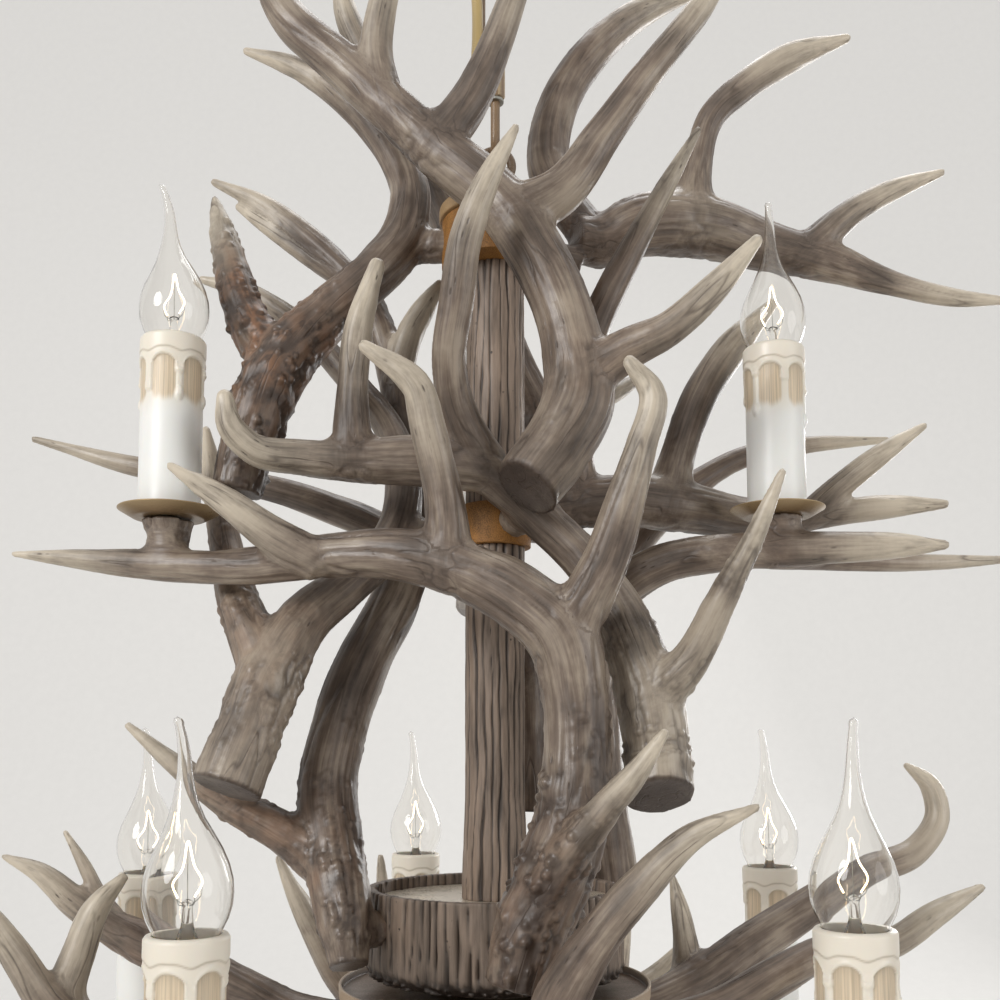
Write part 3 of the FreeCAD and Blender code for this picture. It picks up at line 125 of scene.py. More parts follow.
# How some of the antlers are finished: pearled, warm in stain, bleached at the base, and the slope of the saw cut
# towards the room. The others are nearly smooth, and cut square.
CASTINGS = {
    "upper_front_antler": (0.14, 0.1, 0.1, 0.22),
    "upper_left_antler": (1.0, 1.0, 0.0, 0.0),
    "front_stem_antler": (1.0, 0.3, 0.0, 0.0),
    "crossing_antler": (0.55, 0.0, 0.5, 0.45),
    "left_outer_antler": (0.4, 0.25, 0.3, 0.0),
    "left_stem_antler": (0.5, 0.35, 0.0, 0.0),
    "low_left_antler": (0.3, 0.2, 0.0, 0.0),
}
PLAIN_CASTING = (0.12, 0.05, 0.0, 0.0)

# The antlers' stations: x, y, height against the hub lid's top face, and radius, all in millimetres. A beam runs from
# its sawn base to its tip. At each lug the casting reaches in to the column, and a boss rises from the given station
# to the foot of each candle that the antler carries.
ANTLERS = {
    "upper_front_antler": {
        "beam": [(13, -64, -172, 16.7), (27, -61, -152, 17.3), (40, -58, -126, 17.9), (38, -56, -96, 15.2),
                 (25, -50, -55, 14.9), (5, -46, -21, 14.6), (-33, -44, 14, 13.2), (-77, -40, 57, 11.4),
                 (-110, -36, 91, 9.9), (-123, -32, 131, 6.9), (-118, -30, 166, 2.4)],
        "tines": [[(43, -58, -114, 12.1), (63, -66, -102, 10.1), (82, -74, -95, 8.5), (103, -82, -78, 7),
                   (121, -90, -59, 2.8)],
                  [(10, -46, -25, 13.6), (33, -50, -14, 11.5), (54, -54, 13, 9.5), (75, -58, 41, 7.7),
                   (106, -60, 81, 6), (122, -60, 110, 2)],
                  [(-32, -44, 11, 12.2), (-11, -46, 39, 10.2), (1, -48, 66, 8.4), (9, -50, 88, 7.4),
                   (24, -52, 129, 2.3)],
                  [(-56, -43, 36, 10.7), (-61, -44, 65, 8.7), (-57, -46, 90, 7.4), (-46, -48, 126, 2.3)]],
        "lugs": [(4, -46, -20)]},
    "upper_left_antler": {
        "beam": [(-132, -26, -162, 12.8), (-126, -24, -134, 14.9), (-112, -20, -93, 16.7), (-90, -14, -65, 13.8),
                 (-66, -10, -41, 13.4), (-51, 0, -16, 12.6), (-47, 6, 10, 11.6), (-59, 12, 44, 10.7),
                 (-87, 18, 78, 8.6), (-119, 24, 101, 5.8), (-145, 28, 112, 2.3)],
        "tines": [[(-115, -18, -93, 14.3), (-130, -14, -68, 11.4), (-141, -5, -38, 9.8), (-150, 2, -9, 6.7),
                   (-155, 6, 10, 2.3)]],
        "lugs": [(-51, 0, -19)]},
    "upper_right_antler": {
        "beam": [(45, 20, -6, 12.5), (59, 24, -6, 14.2), (82, 24, 4, 17.1), (115, 30, 7, 17.8),
                 (157, 38, -1, 14), (193, 36, -12, 11.6), (227, 28, -28, 6.8), (260, 20, -40, 5.1),
                 (286, 14, -44, 2.2)],
        "tines": [[(54, 26, -2, 11.4), (31, 40, 49, 12.3), (39, 48, 95, 12), (60, 54, 130, 10.9),
                   (89, 60, 158, 8.6), (127, 64, 175, 2.5)],
                  [(112, 28, 11, 14.3), (116, 26, 42, 9.2), (124, 24, 69, 8), (143, 20, 86, 8.6),
                   (168, 16, 100, 8), (199, 12, 109, 2.6)],
                  [(183, 36, -3, 11), (204, 32, 15, 8.1), (227, 28, 27, 6.3), (255, 24, 36, 2.3)]],
        "lugs": [(46, 20, -19)]},
    "upper_back_antler": {
        "beam": [(34, 62, -148, 15.5), (26, 60, -108, 16), (8, 56, -63, 14), (-10, 50, -20, 14),
                 (-30, 62, 32, 13), (-58, 70, 95, 10.5), (-82, 74, 139, 8.5), (-95, 72, 171, 7),
                 (-98, 66, 197, 2.5)],
        "tines": [[(20, 58, -93, 12), (52, 74, -83, 9), (74, 86, -72, 6.5), (92, 96, -59, 2.4)],
                  [(-12, 52, -13, 13), (0, 90, 5, 11), (8, 130, 27, 9), (10, 165, 62, 7), (4, 185, 97, 2.5)]],
        "lugs": [(-9, 48, -20)]},
    "front_stem_antler": {
        "beam": [(10, -86, -396, 14.5), (16, -86, -372, 16.7), (26, -85, -348, 17.7), (34, -84, -326, 16.9),
                 (37, -82, -297, 15.3), (36, -80, -266, 15.4), (30, -80, -241, 16.8), (12, -78, -224, 15.6),
                 (-14, -74, -210, 13.9), (-44, -68, -202, 12.7), (-78, -60, -201, 10.5), (-119, -50, -204, 9.2),
                 (-161, -40, -202, 8.4), (-203, -32, -198, 6), (-244, -26, -194, 1.8)],
        "tines": [[(16, -88, -365, 13.2), (31, -98, -339, 9.9), (45, -108, -320, 7.2), (59, -116, -303, 5.4),
                   (71, -120, -286, 2.1)],
                  [(37, -82, -234, 13.6), (50, -90, -208, 10.8), (58, -96, -184, 9.4), (65, -100, -160, 7.5),
                   (70, -102, -135, 6), (60, -104, -122, 3.3)],
                  [(-21, -72, -211, 13), (-23, -78, -178, 9.7), (-30, -84, -147, 8.3), (-36, -88, -127, 7.1),
                   (-59, -92, -110, 3)],
                  [(-83, -60, -204, 10), (-105, -66, -192, 9), (-126, -72, -177, 7), (-150, -78, -162, 2.1)]],
        "lugs": [(12, -86, -385)],
        "carries": {"upper_left": (-161, -39, -201, 8.4)}},
    "crossing_antler": {
        "beam": [(77, -62, -322, 16.7), (76, -60, -298, 15.9), (73, -58, -269, 16.5), (65, -52, -240, 13.9),
                 (50, -39, -207, 11.4), (22, -32, -175, 11.1), (-2, -36, -153, 11.6), (-18, -48, -128, 9.9),
                 (-22, -60, -107, 8.7), (-18, -70, -79, 8.4), (-13, -78, -51, 8), (-1, -84, -22, 5.6),
                 (10, -86, -2, 2.1)],
        "tines": [[(73, -60, -270, 13.2), (90, -72, -252, 9.2), (103, -84, -225, 7), (114, -94, -202, 5.3),
                   (127, -102, -171, 2)],
                  [(-6, -37, -152, 12.2), (-35, -39, -149, 13.3), (-67, -42, -150, 11.4), (-96, -46, -149, 8.9),
                   (-118, -56, -147, 7.8), (-127, -62, -138, 6.7), (-129, -64, -125, 4.3)],
                  [(-71, -42, -147, 10.9), (-71, -44, -114, 8.2), (-68, -46, -84, 7.5), (-59, -48, -52, 4)]],
        "lugs": [(21, -32, -174)]},
    "left_outer_antler": {
        "beam": [(-125, -62, -311, 16.8), (-118, -54, -287, 16.6), (-110, -44, -259, 17), (-95, -30, -228, 13.5),
                 (-75, -14, -206, 12.4), (-54, -4, -182, 11.2), (-50, 8, -146, 9.8), (-59, 24, -115, 9),
                 (-83, 34, -82, 8), (-114, 42, -47, 7), (-145, 48, -25, 5.9), (-174, 52, -15, 2.4)],
        "tines": [[(-112, -42, -252, 14.2), (-130, -26, -217, 10.6), (-143, -3, -182, 8.5),
                   (-152, 6, -148, 6.5), (-158, 10, -119, 2.5)]],
        "lugs": [(-54, -4, -180)]},
    "left_stem_antler": {
        "beam": [(-68, -52, -394, 9.4), (-72, -42, -372, 14), (-80, -26, -342, 15.2), (-85, -16, -313, 15.2),
                 (-80, -8, -280, 15), (-70, 4, -246, 14.8), (-54, 20, -209, 13.6), (-45, 32, -172, 11.6),
                 (-50, 42, -122, 10.3), (-59, 50, -77, 10), (-78, 58, -25, 9.6), (-110, 64, 12, 8.5),
                 (-142, 70, 40, 6.1), (-174, 74, 57, 2.5)],
        "tines": [[(-82, -25, -350, 13.4), (-103, -26, -335, 10.9), (-132, -26, -319, 8.5), (-159, -28, -300, 5.5),
                   (-182, -30, -281, 2)],
                  [(-91, 60, -10, 7.8), (-119, 66, 10, 6.1), (-143, 70, 28, 4.3), (-159, 74, 41, 2.2)],
                  [(-58, 48, -80, 9.4), (-50, 42, -52, 8.2), (-40, 34, -38, 6.5), (-32, 31, -27, 3)]],
        "lugs": [(-72, -42, -380)]},
    "right_upper_antler": {
        "beam": [(22, 16, -163, 11), (41, 18, -159, 13.2), (69, 18, -156, 14.9), (102, 24, -158, 14.4),
                 (136, 37, -161, 12.4), (166, 42, -161, 10.2), (195, 40, -158, 7.9), (222, 34, -156, 7),
                 (251, 27, -156, 2.8)],
        "tines": [[(44, 18, -156, 12.1), (44, 14, -123, 9.9), (46, 4, -93, 8.7), (55, -6, -63, 8.6),
                   (71, -9, -30, 7.5), (91, -12, 7, 5.4), (109, -14, 39, 2.2)],
                  [(95, 23, -155, 13.3), (103, 25, -126, 10.1), (116, 28, -93, 10.2), (134, 32, -65, 9.7),
                   (160, 38, -36, 3.5)],
                  [(179, 41, -159, 8.5), (197, 34, -143, 7.3), (216, 26, -128, 6.2), (239, 22, -113, 2.2)]],
        "lugs": [(26, 12, -172)]},
    "right_stem_antler": {
        "beam": [(66, 64, -390, 16.5), (64, 60, -361, 17), (58, 53, -321, 16.6), (54, 44, -282, 16.4),
                 (52, 28, -243, 14.9), (64, 18, -211, 12.6), (91, 6, -193, 11.3), (119, -2, -189, 10.6),
                 (150, -6, -188, 10), (184, -14, -188, 8.3), (209, -18, -188, 6.7), (231, -20, -188, 2.6)],
        "tines": [[(145, -6, -189, 9.5), (192, 10, -191, 5.9), (234, 22, -190, 5), (290, 34, -186, 2)]],
        "lugs": [(62, 60, -385), (52, 30, -225)],
        "carries": {"upper_right": (150, -5, -188, 10)}},
    "back_stem_antler": {
        "beam": [(21, 46, -327, 12.9), (21, 46, -287, 13), (17, 44, -242, 12.5), (5, 42, -208, 12.5),
                 (-17, 48, -187, 11.4), (-49, 60, -173, 10.4), (-85, 58, -156, 9.9), (-121, 58, -143, 8.2),
                 (-162, 60, -133, 7.1), (-210, 62, -126, 6.2), (-274, 62, -109, 2.1)],
        "tines": [[(20, 46, -248, 12), (44, 62, -229, 11.5), (65, 64, -196, 11), (92, 68, -159, 10.2),
                   (120, 72, -134, 8.4), (148, 76, -117, 6.7), (186, 80, -108, 5.5), (240, 84, -103, 2.2)],
                  [(4, 44, -210, 12), (-4, 90, -203, 11.5), (-14, 140, -196, 11), (-20, 185, -190, 8.5),
                   (-26, 225, -172, 2.5)]],
        "lugs": [(4, 42, -204)],
        "carries": {"upper_back": (-16, 158, -193, 10)}},
    "low_left_antler": {
        "beam": [(-30, 12, -441, 12.2), (-78, 26, -440, 12.3), (-110, 28, -434, 12.4), (-137, 28, -422, 12.4),
                 (-165, 28, -407, 12.4), (-191, 26, -396, 11.3), (-209, 22, -385, 9.1), (-226, 18, -372, 8),
                 (-241, 14, -358, 5.8), (-259, 10, -349, 1.8)],
        "tines": [[(-203, 24, -387, 7.5), (-212, 22, -372, 4.8), (-221, 22, -355, 3.7), (-232, 22, -337, 1.6)],
                  [(-78, 27, -441, 11.5), (-120, 42, -460, 11), (-165, 55, -471, 11), (-201, 65, -473, 11),
                   (-234, 76, -461, 8), (-256, 84, -440, 2.6)]],
        "lugs": [(-36, 14, -441)],
        "carries": {"lower_left": (-201, 65, -471, 11)}},
    "low_front_left_antler": {
        "beam": [(-18, -26, -440, 12), (-30, -66, -437, 11.4), (-57, -88, -426, 10.8), (-84, -106, -421, 9.6),
                 (-117, -121, -416, 9.2), (-152, -128, -411, 8.7), (-169, -132, -391, 7.9), (-165, -130, -372, 6.4),
                 (-159, -128, -355, 5.2), (-151, -124, -345, 2.4)],
        "tines": [[(-158, -131, -408, 8.3), (-174, -140, -390, 7.4), (-184, -145, -372, 6.2), (-196, -150, -352, 3.9),
                   (-204, -152, -339, 1.8)],
                  [(-54, -86, -428, 10.6), (-74, -108, -452, 11), (-96, -130, -468, 11.5), (-117, -150, -473, 11.5),
                   (-136, -168, -473, 8.5), (-149, -180, -466, 3)]],
        "lugs": [(-18, -26, -440)],
        "carries": {"lower_front_left": (-116, -149, -471, 11.5)}},
    "low_front_right_antler": {
        "beam": [(22, -28, -443, 12), (32, -66, -441, 11.8), (50, -92, -430, 11.4), (70, -101, -412, 10.4),
                 (95, -104, -402, 9.2), (122, -100, -388, 8.5), (145, -94, -379, 7.4), (171, -88, -378, 6.7),
                 (195, -84, -365, 5.7), (217, -80, -354, 2)],
        "tines": [[(33, -72, -440, 12), (26, -100, -424, 12.6), (27, -112, -400, 12), (43, -124, -368, 9.3),
                   (59, -132, -347, 8), (77, -140, -328, 6), (102, -148, -315, 1.8)],
                  [(50, -90, -434, 11), (96, -112, -460, 11), (142, -136, -473, 12), (174, -151, -462, 8.5),
                   (198, -160, -440, 2.6)]],
        "lugs": [(22, -28, -443)],
        "carries": {"lower_front_right": (142, -136, -471, 12)}},
    "low_right_antler": {
        "beam": [(36, 16, -442, 12), (78, 30, -433, 12), (112, 40, -420, 13.2), (147, 46, -398, 12.2),
                 (182, 50, -377, 10.7), (212, 54, -361, 9.1), (239, 56, -350, 8), (253, 58, -330, 6.9),
                 (250, 60, -313, 5.8), (238, 62, -302, 2.3)],
        "tines": [[(107, 42, -425, 11), (107, 52, -402, 7.3), (105, 58, -384, 5.7), (101, 62, -363, 1.6)],
                  [(76, 31, -437, 11.5), (112, 58, -461, 11.5), (145, 83, -472, 12), (166, 97, -473, 12),
                   (196, 114, -461, 8.5), (220, 128, -438, 2.6)]],
        "lugs": [(36, 16, -442)],
        "carries": {"lower_right": (165, 97, -471, 12)}},
    "low_back_right_antler": {
        "beam": [(12, 38, -441, 12), (30, 90, -455, 12.5), (50, 138, -468, 12.5), (66, 178, -472, 11.5),
                 (77, 205, -470, 10), (87, 228, -449, 8), (93, 242, -420, 6), (96, 248, -393, 2.5)],
        "tines": [[(40, 112, -462, 11), (72, 122, -450, 8.5), (104, 134, -432, 6), (122, 142, -415, 2.5)]],
        "lugs": [(12, 38, -441)],
        "carries": {"lower_back_right": (66, 178, -470, 11)}},
    "low_back_left_antler": {
        "beam": [(-12, 38, -441, 12), (-32, 84, -455, 12.5), (-46, 130, -468, 12.5), (-55, 182, -472, 11.5),
                 (-62, 209, -470, 10), (-71, 231, -449, 8), (-79, 246, -420, 6), (-84, 252, -393, 2.5)],
        "tines": [[(-36, 92, -456, 11), (-74, 82, -443, 10.5), (-90, 76, -424, 9.4), (-104, 72, -400, 7.5),
                   (-116, 70, -377, 5.2), (-126, 70, -356, 2.4)],
                  [(-80, 81, -437, 8.5), (-102, 90, -412, 6.8), (-115, 91, -385, 5.2), (-127, 88, -364, 2.2)],
                  [(-44, 120, -465, 10), (-60, 122, -440, 8), (-66, 114, -410, 6), (-69, 106, -380, 4.4),
                   (-70, 100, -358, 2.2)]],
        "lugs": [(-12, 38, -441)],
        "carries": {"lower_back_left": (-55, 181, -470, 11)}},
}

# The cord's route in millimetres, from the bush under the canopy down beside the chain and into the hub lid.
CORD_ROUTE = [(-24, -9, -40.5), (-24, -9, -68), (-16, -10, -105), (-10, -9, -142), (-9.5, -9.5, -180),
              (-13, -9, -208), (-20, -9, -242), (-20, -9, -274)]

# The bulb's glass from its cap up: height above the sleeve's top as a share of the bulb's height, and radius in
# millimetres.
GLASS = [(-0.12, 8.2), (-0.09, 9.4), (-0.04, 11.4), (0.02, 13.6), (0.07, 15.6), (0.13, 17.0), (0.19, 17.4),
         (0.25, 17.0), (0.32, 15.4), (0.39, 12.8), (0.46, 9.9), (0.53, 7.1), (0.6, 5.1), (0.67, 3.8), (0.74, 3.0),
         (0.82, 2.5), (0.9, 2.1), (0.955, 1.8), (0.975, 2.0), (0.99, 1.6), (1, 0)]


def linear(code):
    """An sRGB hex colour, made linear and opaque."""
    values = [int(code[place:place + 2], 16) / 255 for place in (1, 3, 5)]
    return tuple([v / 12.92 if v <= 0.04045 else ((v + 0.055) / 1.055) ** 2.4 for v in values] + [1.0])


# ---------------------------------------------------------------- sizes and colours

def length_property(name, description, millimetres):
    return bpy.props.FloatProperty(name=name, description=description, default=millimetres * MM, min=0,
                                   unit="LENGTH", precision=5)


def colour_property(name, description, code):
    return bpy.props.FloatVectorProperty(name=name, description=description, default=linear(code)[:3], size=3,
                                         min=0, max=1, subtype="COLOR")


class ChandelierSizes(bpy.types.PropertyGroup):
    """Sizes of the carving, the wax and the glass."""
    antler_detail: length_property("Antler detail", "Edge length of the antlers' mesh", 1.25)
    flute_depth: length_property("Flute depth", "Depth of the long flutes along an antler", 0.8)
    flute_width: length_property("Flute width", "Distance from one flute to the next", 8)
    pearl_height: length_property("Pearl height", "Height of the pearls near an antler's base", 2.3)
    pearl_spacing: length_property("Pearl spacing", "Distance between the pearls", 5.5)
    bark_depth: length_property("Bark depth", "Depth of the grooves along the column", 1.3)
    bark_spacing: length_property("Bark spacing", "Distance between the grooves along the column", 4.4)
    drum_depth: length_property("Drum groove depth", "Depth of the grooves round the drum", 1.7)
    drum_spacing: length_property("Drum groove spacing", "Distance between the grooves round the drum", 4.8)
    wax_rise: length_property("Wax rise", "How far the wax stands out of the sleeve", 0.9)
    glass_wall: length_property("Glass wall", "Thickness of the bulbs' blown glass", 0.5)
    filament_wire: length_property("Filament", "Radius of the glowing coil", 0.35)


class ChandelierColours(bpy.types.PropertyGroup):
    """Colours of the stains, paints and lamps."""
    antler_dark: colour_property("Antler stain", "Stain left in the antlers' flutes and pits", "#3a2d25")
    antler_mid: colour_property("Antler body", "Stain over most of an antler", "#716256")
    antler_pale: colour_property("Antler rubbed", "Where the stain is rubbed off the ridges", "#9c8e7e")
    antler_tip: colour_property("Antler tips", "Pale tips", "#cdc1ae")
    antler_amber: colour_property("Antler amber", "Warm stain on the upper left antler", "#93694a")
    bark_pale: colour_property("Bark ridges", "Ridges of the column and the drum", "#8e7c6d")
    bark_dark: colour_property("Bark grooves", "Grooves of the column and the drum", "#271e18")
    hub_paint: colour_property("Hub paint", "Mustard brown paint of the hubs", "#96672f")
    lid_paint: colour_property("Lid paint", "Tan paint of the hub lid", "#a88a64")
    bronze_paint: colour_property("Bronze paint", "Paint of the chain and the canopy", "#7f6a55")
    saucer_paint: colour_property("Saucer paint", "Paint of the candles' saucers", "#80684a")
    wax: colour_property("Wax", "Cream wax round the top of a candle sleeve", "#e9e0d0")
    wax_panel: colour_property("Wax panels", "Tan panels between the drips", "#d2c0a6")
    sleeve: colour_property("Sleeve", "The plain part of a candle sleeve", "#efeeea")
    cord: colour_property("Cord", "Gold jacket of the supply cord", "#bfa468")
    glow: colour_property("Glow", "Light of the filaments", "#ffcf8a")
    glow_strength: bpy.props.FloatProperty(name="Glow strength", description="Strength of the filaments' light",
                                           default=6, min=0)


# ---------------------------------------------------------------- nodes and finishes

def add(tree, kind, inputs=None, ramp=None, **settings):
    """Adds a shader node: its inputs, each a value or the node or socket that feeds it, its ramp and its settings."""
    node = tree.nodes.new("ShaderNode" + kind)
    for name, value in settings.items():
        setattr(node, name, value)
    for name, value in (inputs or {}).items():
        if isinstance(value, bpy.types.Node):
            mixes_colour = value.bl_idname == "ShaderNodeMix" and value.data_type == "RGBA"
            value = value.outputs[2 if mixes_colour else 0]
        if isinstance(value, bpy.types.NodeSocket):
            tree.links.new(value, node.inputs[name])
        else:
            node.inputs[name].default_value = value
    for place, (position, colour) in enumerate(ramp or []):
        points = node.color_ramp.elements
        point = points[place] if place < 2 else points.new(position)
        point.position, point.color = position, colour
    return node


def new_finish(name):
    """A new material, its empty tree of nodes, and each point's place in the part."""
    finish = bpy.data.materials.new(name)
    finish.use_nodes = True
    finish.node_tree.nodes.clear()
    return finish, finish.node_tree, add(finish.node_tree, "TexCoord").outputs["Object"]


def shade(colour, share=1.0):
    """A colour made darker or paler, and opaque."""
    return tuple(min(1, share * c) for c in colour[:3]) + (1.0,)


def stained_resin(colours):
    """Cast polyester resin, carved like antler, stained dark and rubbed back: satin, cloudy, faintly streaked along
    the grain, with stain left in its flutes, cracks and pits, and paler towards the tips."""
    finish, tree, place = new_finish("stained_antler_resin")
    streaks = {}
    # Each pattern's width and length in millimetres, and its detail. The streaks and the cracks follow the branches.
    patterns = {"fine": (1.5, 38, 4.0), "broad": (8, 64, 4.0), "cracks": (11, 90, 1.2), "pits": (3.0, 11, 0)}
    for name, (across, along, detail) in patterns.items():
        values = []
        for flow in ("flow", "flow_beside"):
            route = add(tree, "Attribute", attribute_name=flow)
            scale = (1 / (across * MM), 1 / (across * MM), 1 / (along * MM))
            scaled = add(tree, "VectorMath", {0: route.outputs[1], 1: scale}, operation="MULTIPLY")
            if name == "pits":
                value = add(tree, "TexVoronoi", {"Vector": scaled, "Scale": 1.0, "Randomness": 1.0})
            else:
                value = add(tree, "TexNoise", {"Vector": scaled, "Scale": 1.0, "Detail": detail, "Roughness": 0.6})
            values.append(value)
        beside = add(tree, "Attribute", attribute_name="beside")
        streaks[name] = add(tree, "Mix", {0: beside.outputs[2], 2: values[0], 3: values[1]}, data_type="FLOAT")
    # Clouds three fingers across, where more or less of the stain was rubbed away.
    clouds = add(tree, "TexNoise", {"Vector": place, "Scale": 30.0, "Detail": 4.0, "Roughness": 0.55})
    speck = add(tree, "TexNoise", {"Vector": place, "Scale": 900.0, "Detail": 2.0})
    tone = add(tree, "Math", {0: streaks["broad"], 1: 0.34, 2: 0.0}, operation="MULTIPLY_ADD")
    tone = add(tree, "Math", {0: streaks["fine"], 1: 0.24, 2: tone}, operation="MULTIPLY_ADD")
    tone = add(tree, "Math", {0: clouds, 1: 0.42, 2: tone}, operation="MULTIPLY_ADD")
    body = add(tree, "ValToRGB", {"Fac": tone}, [(0.35, shade(colours.antler_dark)),
                                                 (0.6, shade(colours.antler_pale)),
                                                 (0.43, shade(colours.antler_mid, 0.6)),
                                                 (0.495, shade(colours.antler_mid))])
    wear = add(tree, "Attribute", attribute_name="wear")
    tips = add(tree, "MapRange", {"Value": tone, "From Min": 0.38, "From Max": 0.54, "To Min": 0.35, "To Max": 1.0})
    tips = add(tree, "Math", {0: wear.outputs[2], 1: tips}, operation="MULTIPLY", use_clamp=True)
    body = add(tree, "Mix", {0: tips, 6: body, 7: shade(colours.antler_tip)}, data_type="RGBA")
    warm = add(tree, "Attribute", attribute_name="warm")
    amber = add(tree, "MapRange", {"Value": streaks["broad"], "From Min": 0.36, "From Max": 0.56, "To Min": 0.3,
                                   "To Max": 1.0})
    amber = add(tree, "Math", {0: warm.outputs[2], 1: amber}, operation="MULTIPLY", use_clamp=True)
    body = add(tree, "Mix", {0: amber, 6: body, 7: shade(colours.antler_amber)}, data_type="RGBA")
    stain = add(tree, "Attribute", attribute_name="stain")
    body = add(tree, "Mix", {0: stain.outputs[2], 6: body, 7: shade(colours.antler_dark)}, data_type="RGBA")
    # Cracks run where the stretched noise passes its middle value, in the darker clouds only.
    cracks = add(tree, "Math", {0: streaks["cracks"], 1: 0.5}, operation="SUBTRACT")
    cracks = add(tree, "Math", {0: cracks}, operation="ABSOLUTE")
    cracks = add(tree, "MapRange", {"Value": cracks, "From Min": 0.002, "From Max": 0.02, "To Min": 1.0,
                                    "To Max": 0.0})
    where = add(tree, "MapRange", {"Value": clouds, "From Min": 0.52, "From Max": 0.42, "To Min": 0.0,
                                   "To Max": 0.55})
    cracks = add(tree, "Math", {0: cracks, 1: where}, operation="MULTIPLY", use_clamp=True)
    pits = add(tree, "MapRange", {"Value": streaks["pits"], "From Min": 0.1, "From Max": 0.2, "To Min": 1.0,
                                  "To Max": 0.0})
    clusters = add(tree, "MapRange", {"Value": streaks["broad"], "From Min": 0.49, "From Max": 0.4, "To Min": 0.0,
                                      "To Max": 0.75})
    pits = add(tree, "Math", {0: pits, 1: clusters}, operation="MULTIPLY", use_clamp=True)
    marks = add(tree, "Math", {0: pits, 1: cracks}, operation="MAXIMUM")
    body = add(tree, "Mix", {0: marks, 6: body, 7: shade(colours.antler_dark)}, data_type="RGBA")
    gloss = add(tree, "MapRange", {"Value": clouds, "From Min": 0.35, "From Max": 0.65, "To Min": 0.5,
                                   "To Max": 0.31})
    height = add(tree, "Math", {0: streaks["fine"], 1: 0.6}, operation="MULTIPLY")
    height = add(tree, "Math", {0: marks, 1: -1.1, 2: height}, operation="MULTIPLY_ADD")
    height = add(tree, "Math", {0: speck, 1: 0.15, 2: height}, operation="MULTIPLY_ADD")
    bump = add(tree, "Bump", {"Strength": 0.5, "Distance": 0.0006, "Height": height})
    shader = add(tree, "BsdfPrincipled", {"Base Color": body, "Roughness": gloss, "Normal": bump, "IOR": 1.5})
    add(tree, "OutputMaterial", {"Surface": shader})
    return finish


def bark_resin(name, pale, dark, spacing):
    """Cast resin with the form of bark: satin, its grooves stained nearly black, with a few small pits in the
    ridges."""
    finish, tree, place = new_finish(name)
    along = add(tree, "VectorMath", {0: place, 1: (520, 520, 40)}, operation="MULTIPLY")
    streaks = add(tree, "TexNoise", {"Vector": along, "Scale": 1.0, "Detail": 5.0, "Roughness": 0.65})
    broad = add(tree, "VectorMath", {0: place, 1: (110, 110, 24)}, operation="MULTIPLY")
    patches = add(tree, "TexNoise", {"Vector": broad, "Scale": 1.0, "Detail": 3.0})
    tone = add(tree, "Math", {0: patches, 1: 0.6, 2: 0.0}, operation="MULTIPLY_ADD")
    tone = add(tree, "Math", {0: streaks, 1: 0.4, 2: tone}, operation="MULTIPLY_ADD")
    body = add(tree, "ValToRGB", {"Fac": tone}, [(0.34, shade(pale, 0.34)), (0.62, shade(pale, 1.25)),
                                                 (0.46, shade(pale, 0.8))])
    groove = add(tree, "Attribute", attribute_name="groove")
    body = add(tree, "Mix", {0: groove.outputs[2], 6: body, 7: shade(dark)}, data_type="RGBA")
    pits = add(tree, "TexVoronoi", {"Vector": place, "Scale": 1 / spacing, "Randomness": 1.0})
    pits = add(tree, "MapRange", {"Value": pits, "From Min": 0.07, "From Max": 0.13, "To Min": 0.85, "To Max": 0.0})
    few = add(tree, "MapRange", {"Value": patches, "From Min": 0.52, "From Max": 0.6, "To Min": 0.0, "To Max": 1.0})
    pits = add(tree, "Math", {0: pits, 1: few}, operation="MULTIPLY", use_clamp=True)
    body = add(tree, "Mix", {0: pits, 6: body, 7: shade(dark)}, data_type="RGBA")
    gloss = add(tree, "MapRange", {"Value": tone, "From Min": 0.35, "From Max": 0.6, "To Min": 0.62, "To Max": 0.46})
    height = add(tree, "Math", {0: pits, 1: -1.0, 2: streaks}, operation="MULTIPLY_ADD")
    bump = add(tree, "Bump", {"Strength": 0.6, "Distance": 0.0007, "Height": height})
    shader = add(tree, "BsdfPrincipled", {"Base Color": body, "Roughness": gloss, "Normal": bump})
    add(tree, "OutputMaterial", {"Surface": shader})
    return finish


def brushed_on_paint(name, colour, speckle=0.25, roughness=0.5, metal=0.0, grain=1400.0, worn=None):
    """Paint dabbed on by hand over metal: satin, finely speckled like suede, with cloudy tone. Where it is worn, the
    edges show a paler undercoat."""
    finish, tree, place = new_finish(name)
    speck = add(tree, "TexNoise", {"Vector": place, "Scale": grain, "Detail": 3.0, "Roughness": 0.7})
    cloud = add(tree, "TexNoise", {"Vector": place, "Scale": 70.0, "Detail": 4.0})
    tone = add(tree, "Math", {0: speck, 1: 0.6, 2: 0.0}, operation="MULTIPLY_ADD")
    tone = add(tree, "Math", {0: cloud, 1: 0.4, 2: tone}, operation="MULTIPLY_ADD")
    low, high = 1 - 1.6 * speckle, 1 + speckle
    body = add(tree, "ValToRGB", {"Fac": tone}, [(0.38, shade(colour, low)), (0.62, shade(colour, high))])
    if worn:
        edge = add(tree, "Attribute", attribute_name="edge")
        rubbed = add(tree, "Math", {0: edge.outputs[2], 1: 0.9}, operation="MULTIPLY", use_clamp=True)
        body = add(tree, "Mix", {0: rubbed, 6: body, 7: shade(worn)}, data_type="RGBA")
    gloss = add(tree, "MapRange", {"Value": tone, "From Min": 0.35, "From Max": 0.65, "To Min": roughness + 0.1,
                                   "To Max": roughness - 0.08})
    bump = add(tree, "Bump", {"Strength": 0.35, "Distance": 0.0003, "Height": speck})
    shader = add(tree, "BsdfPrincipled", {"Base Color": body, "Roughness": gloss, "Metallic": metal, "Normal": bump})
    add(tree, "OutputMaterial", {"Surface": shader})
    return finish


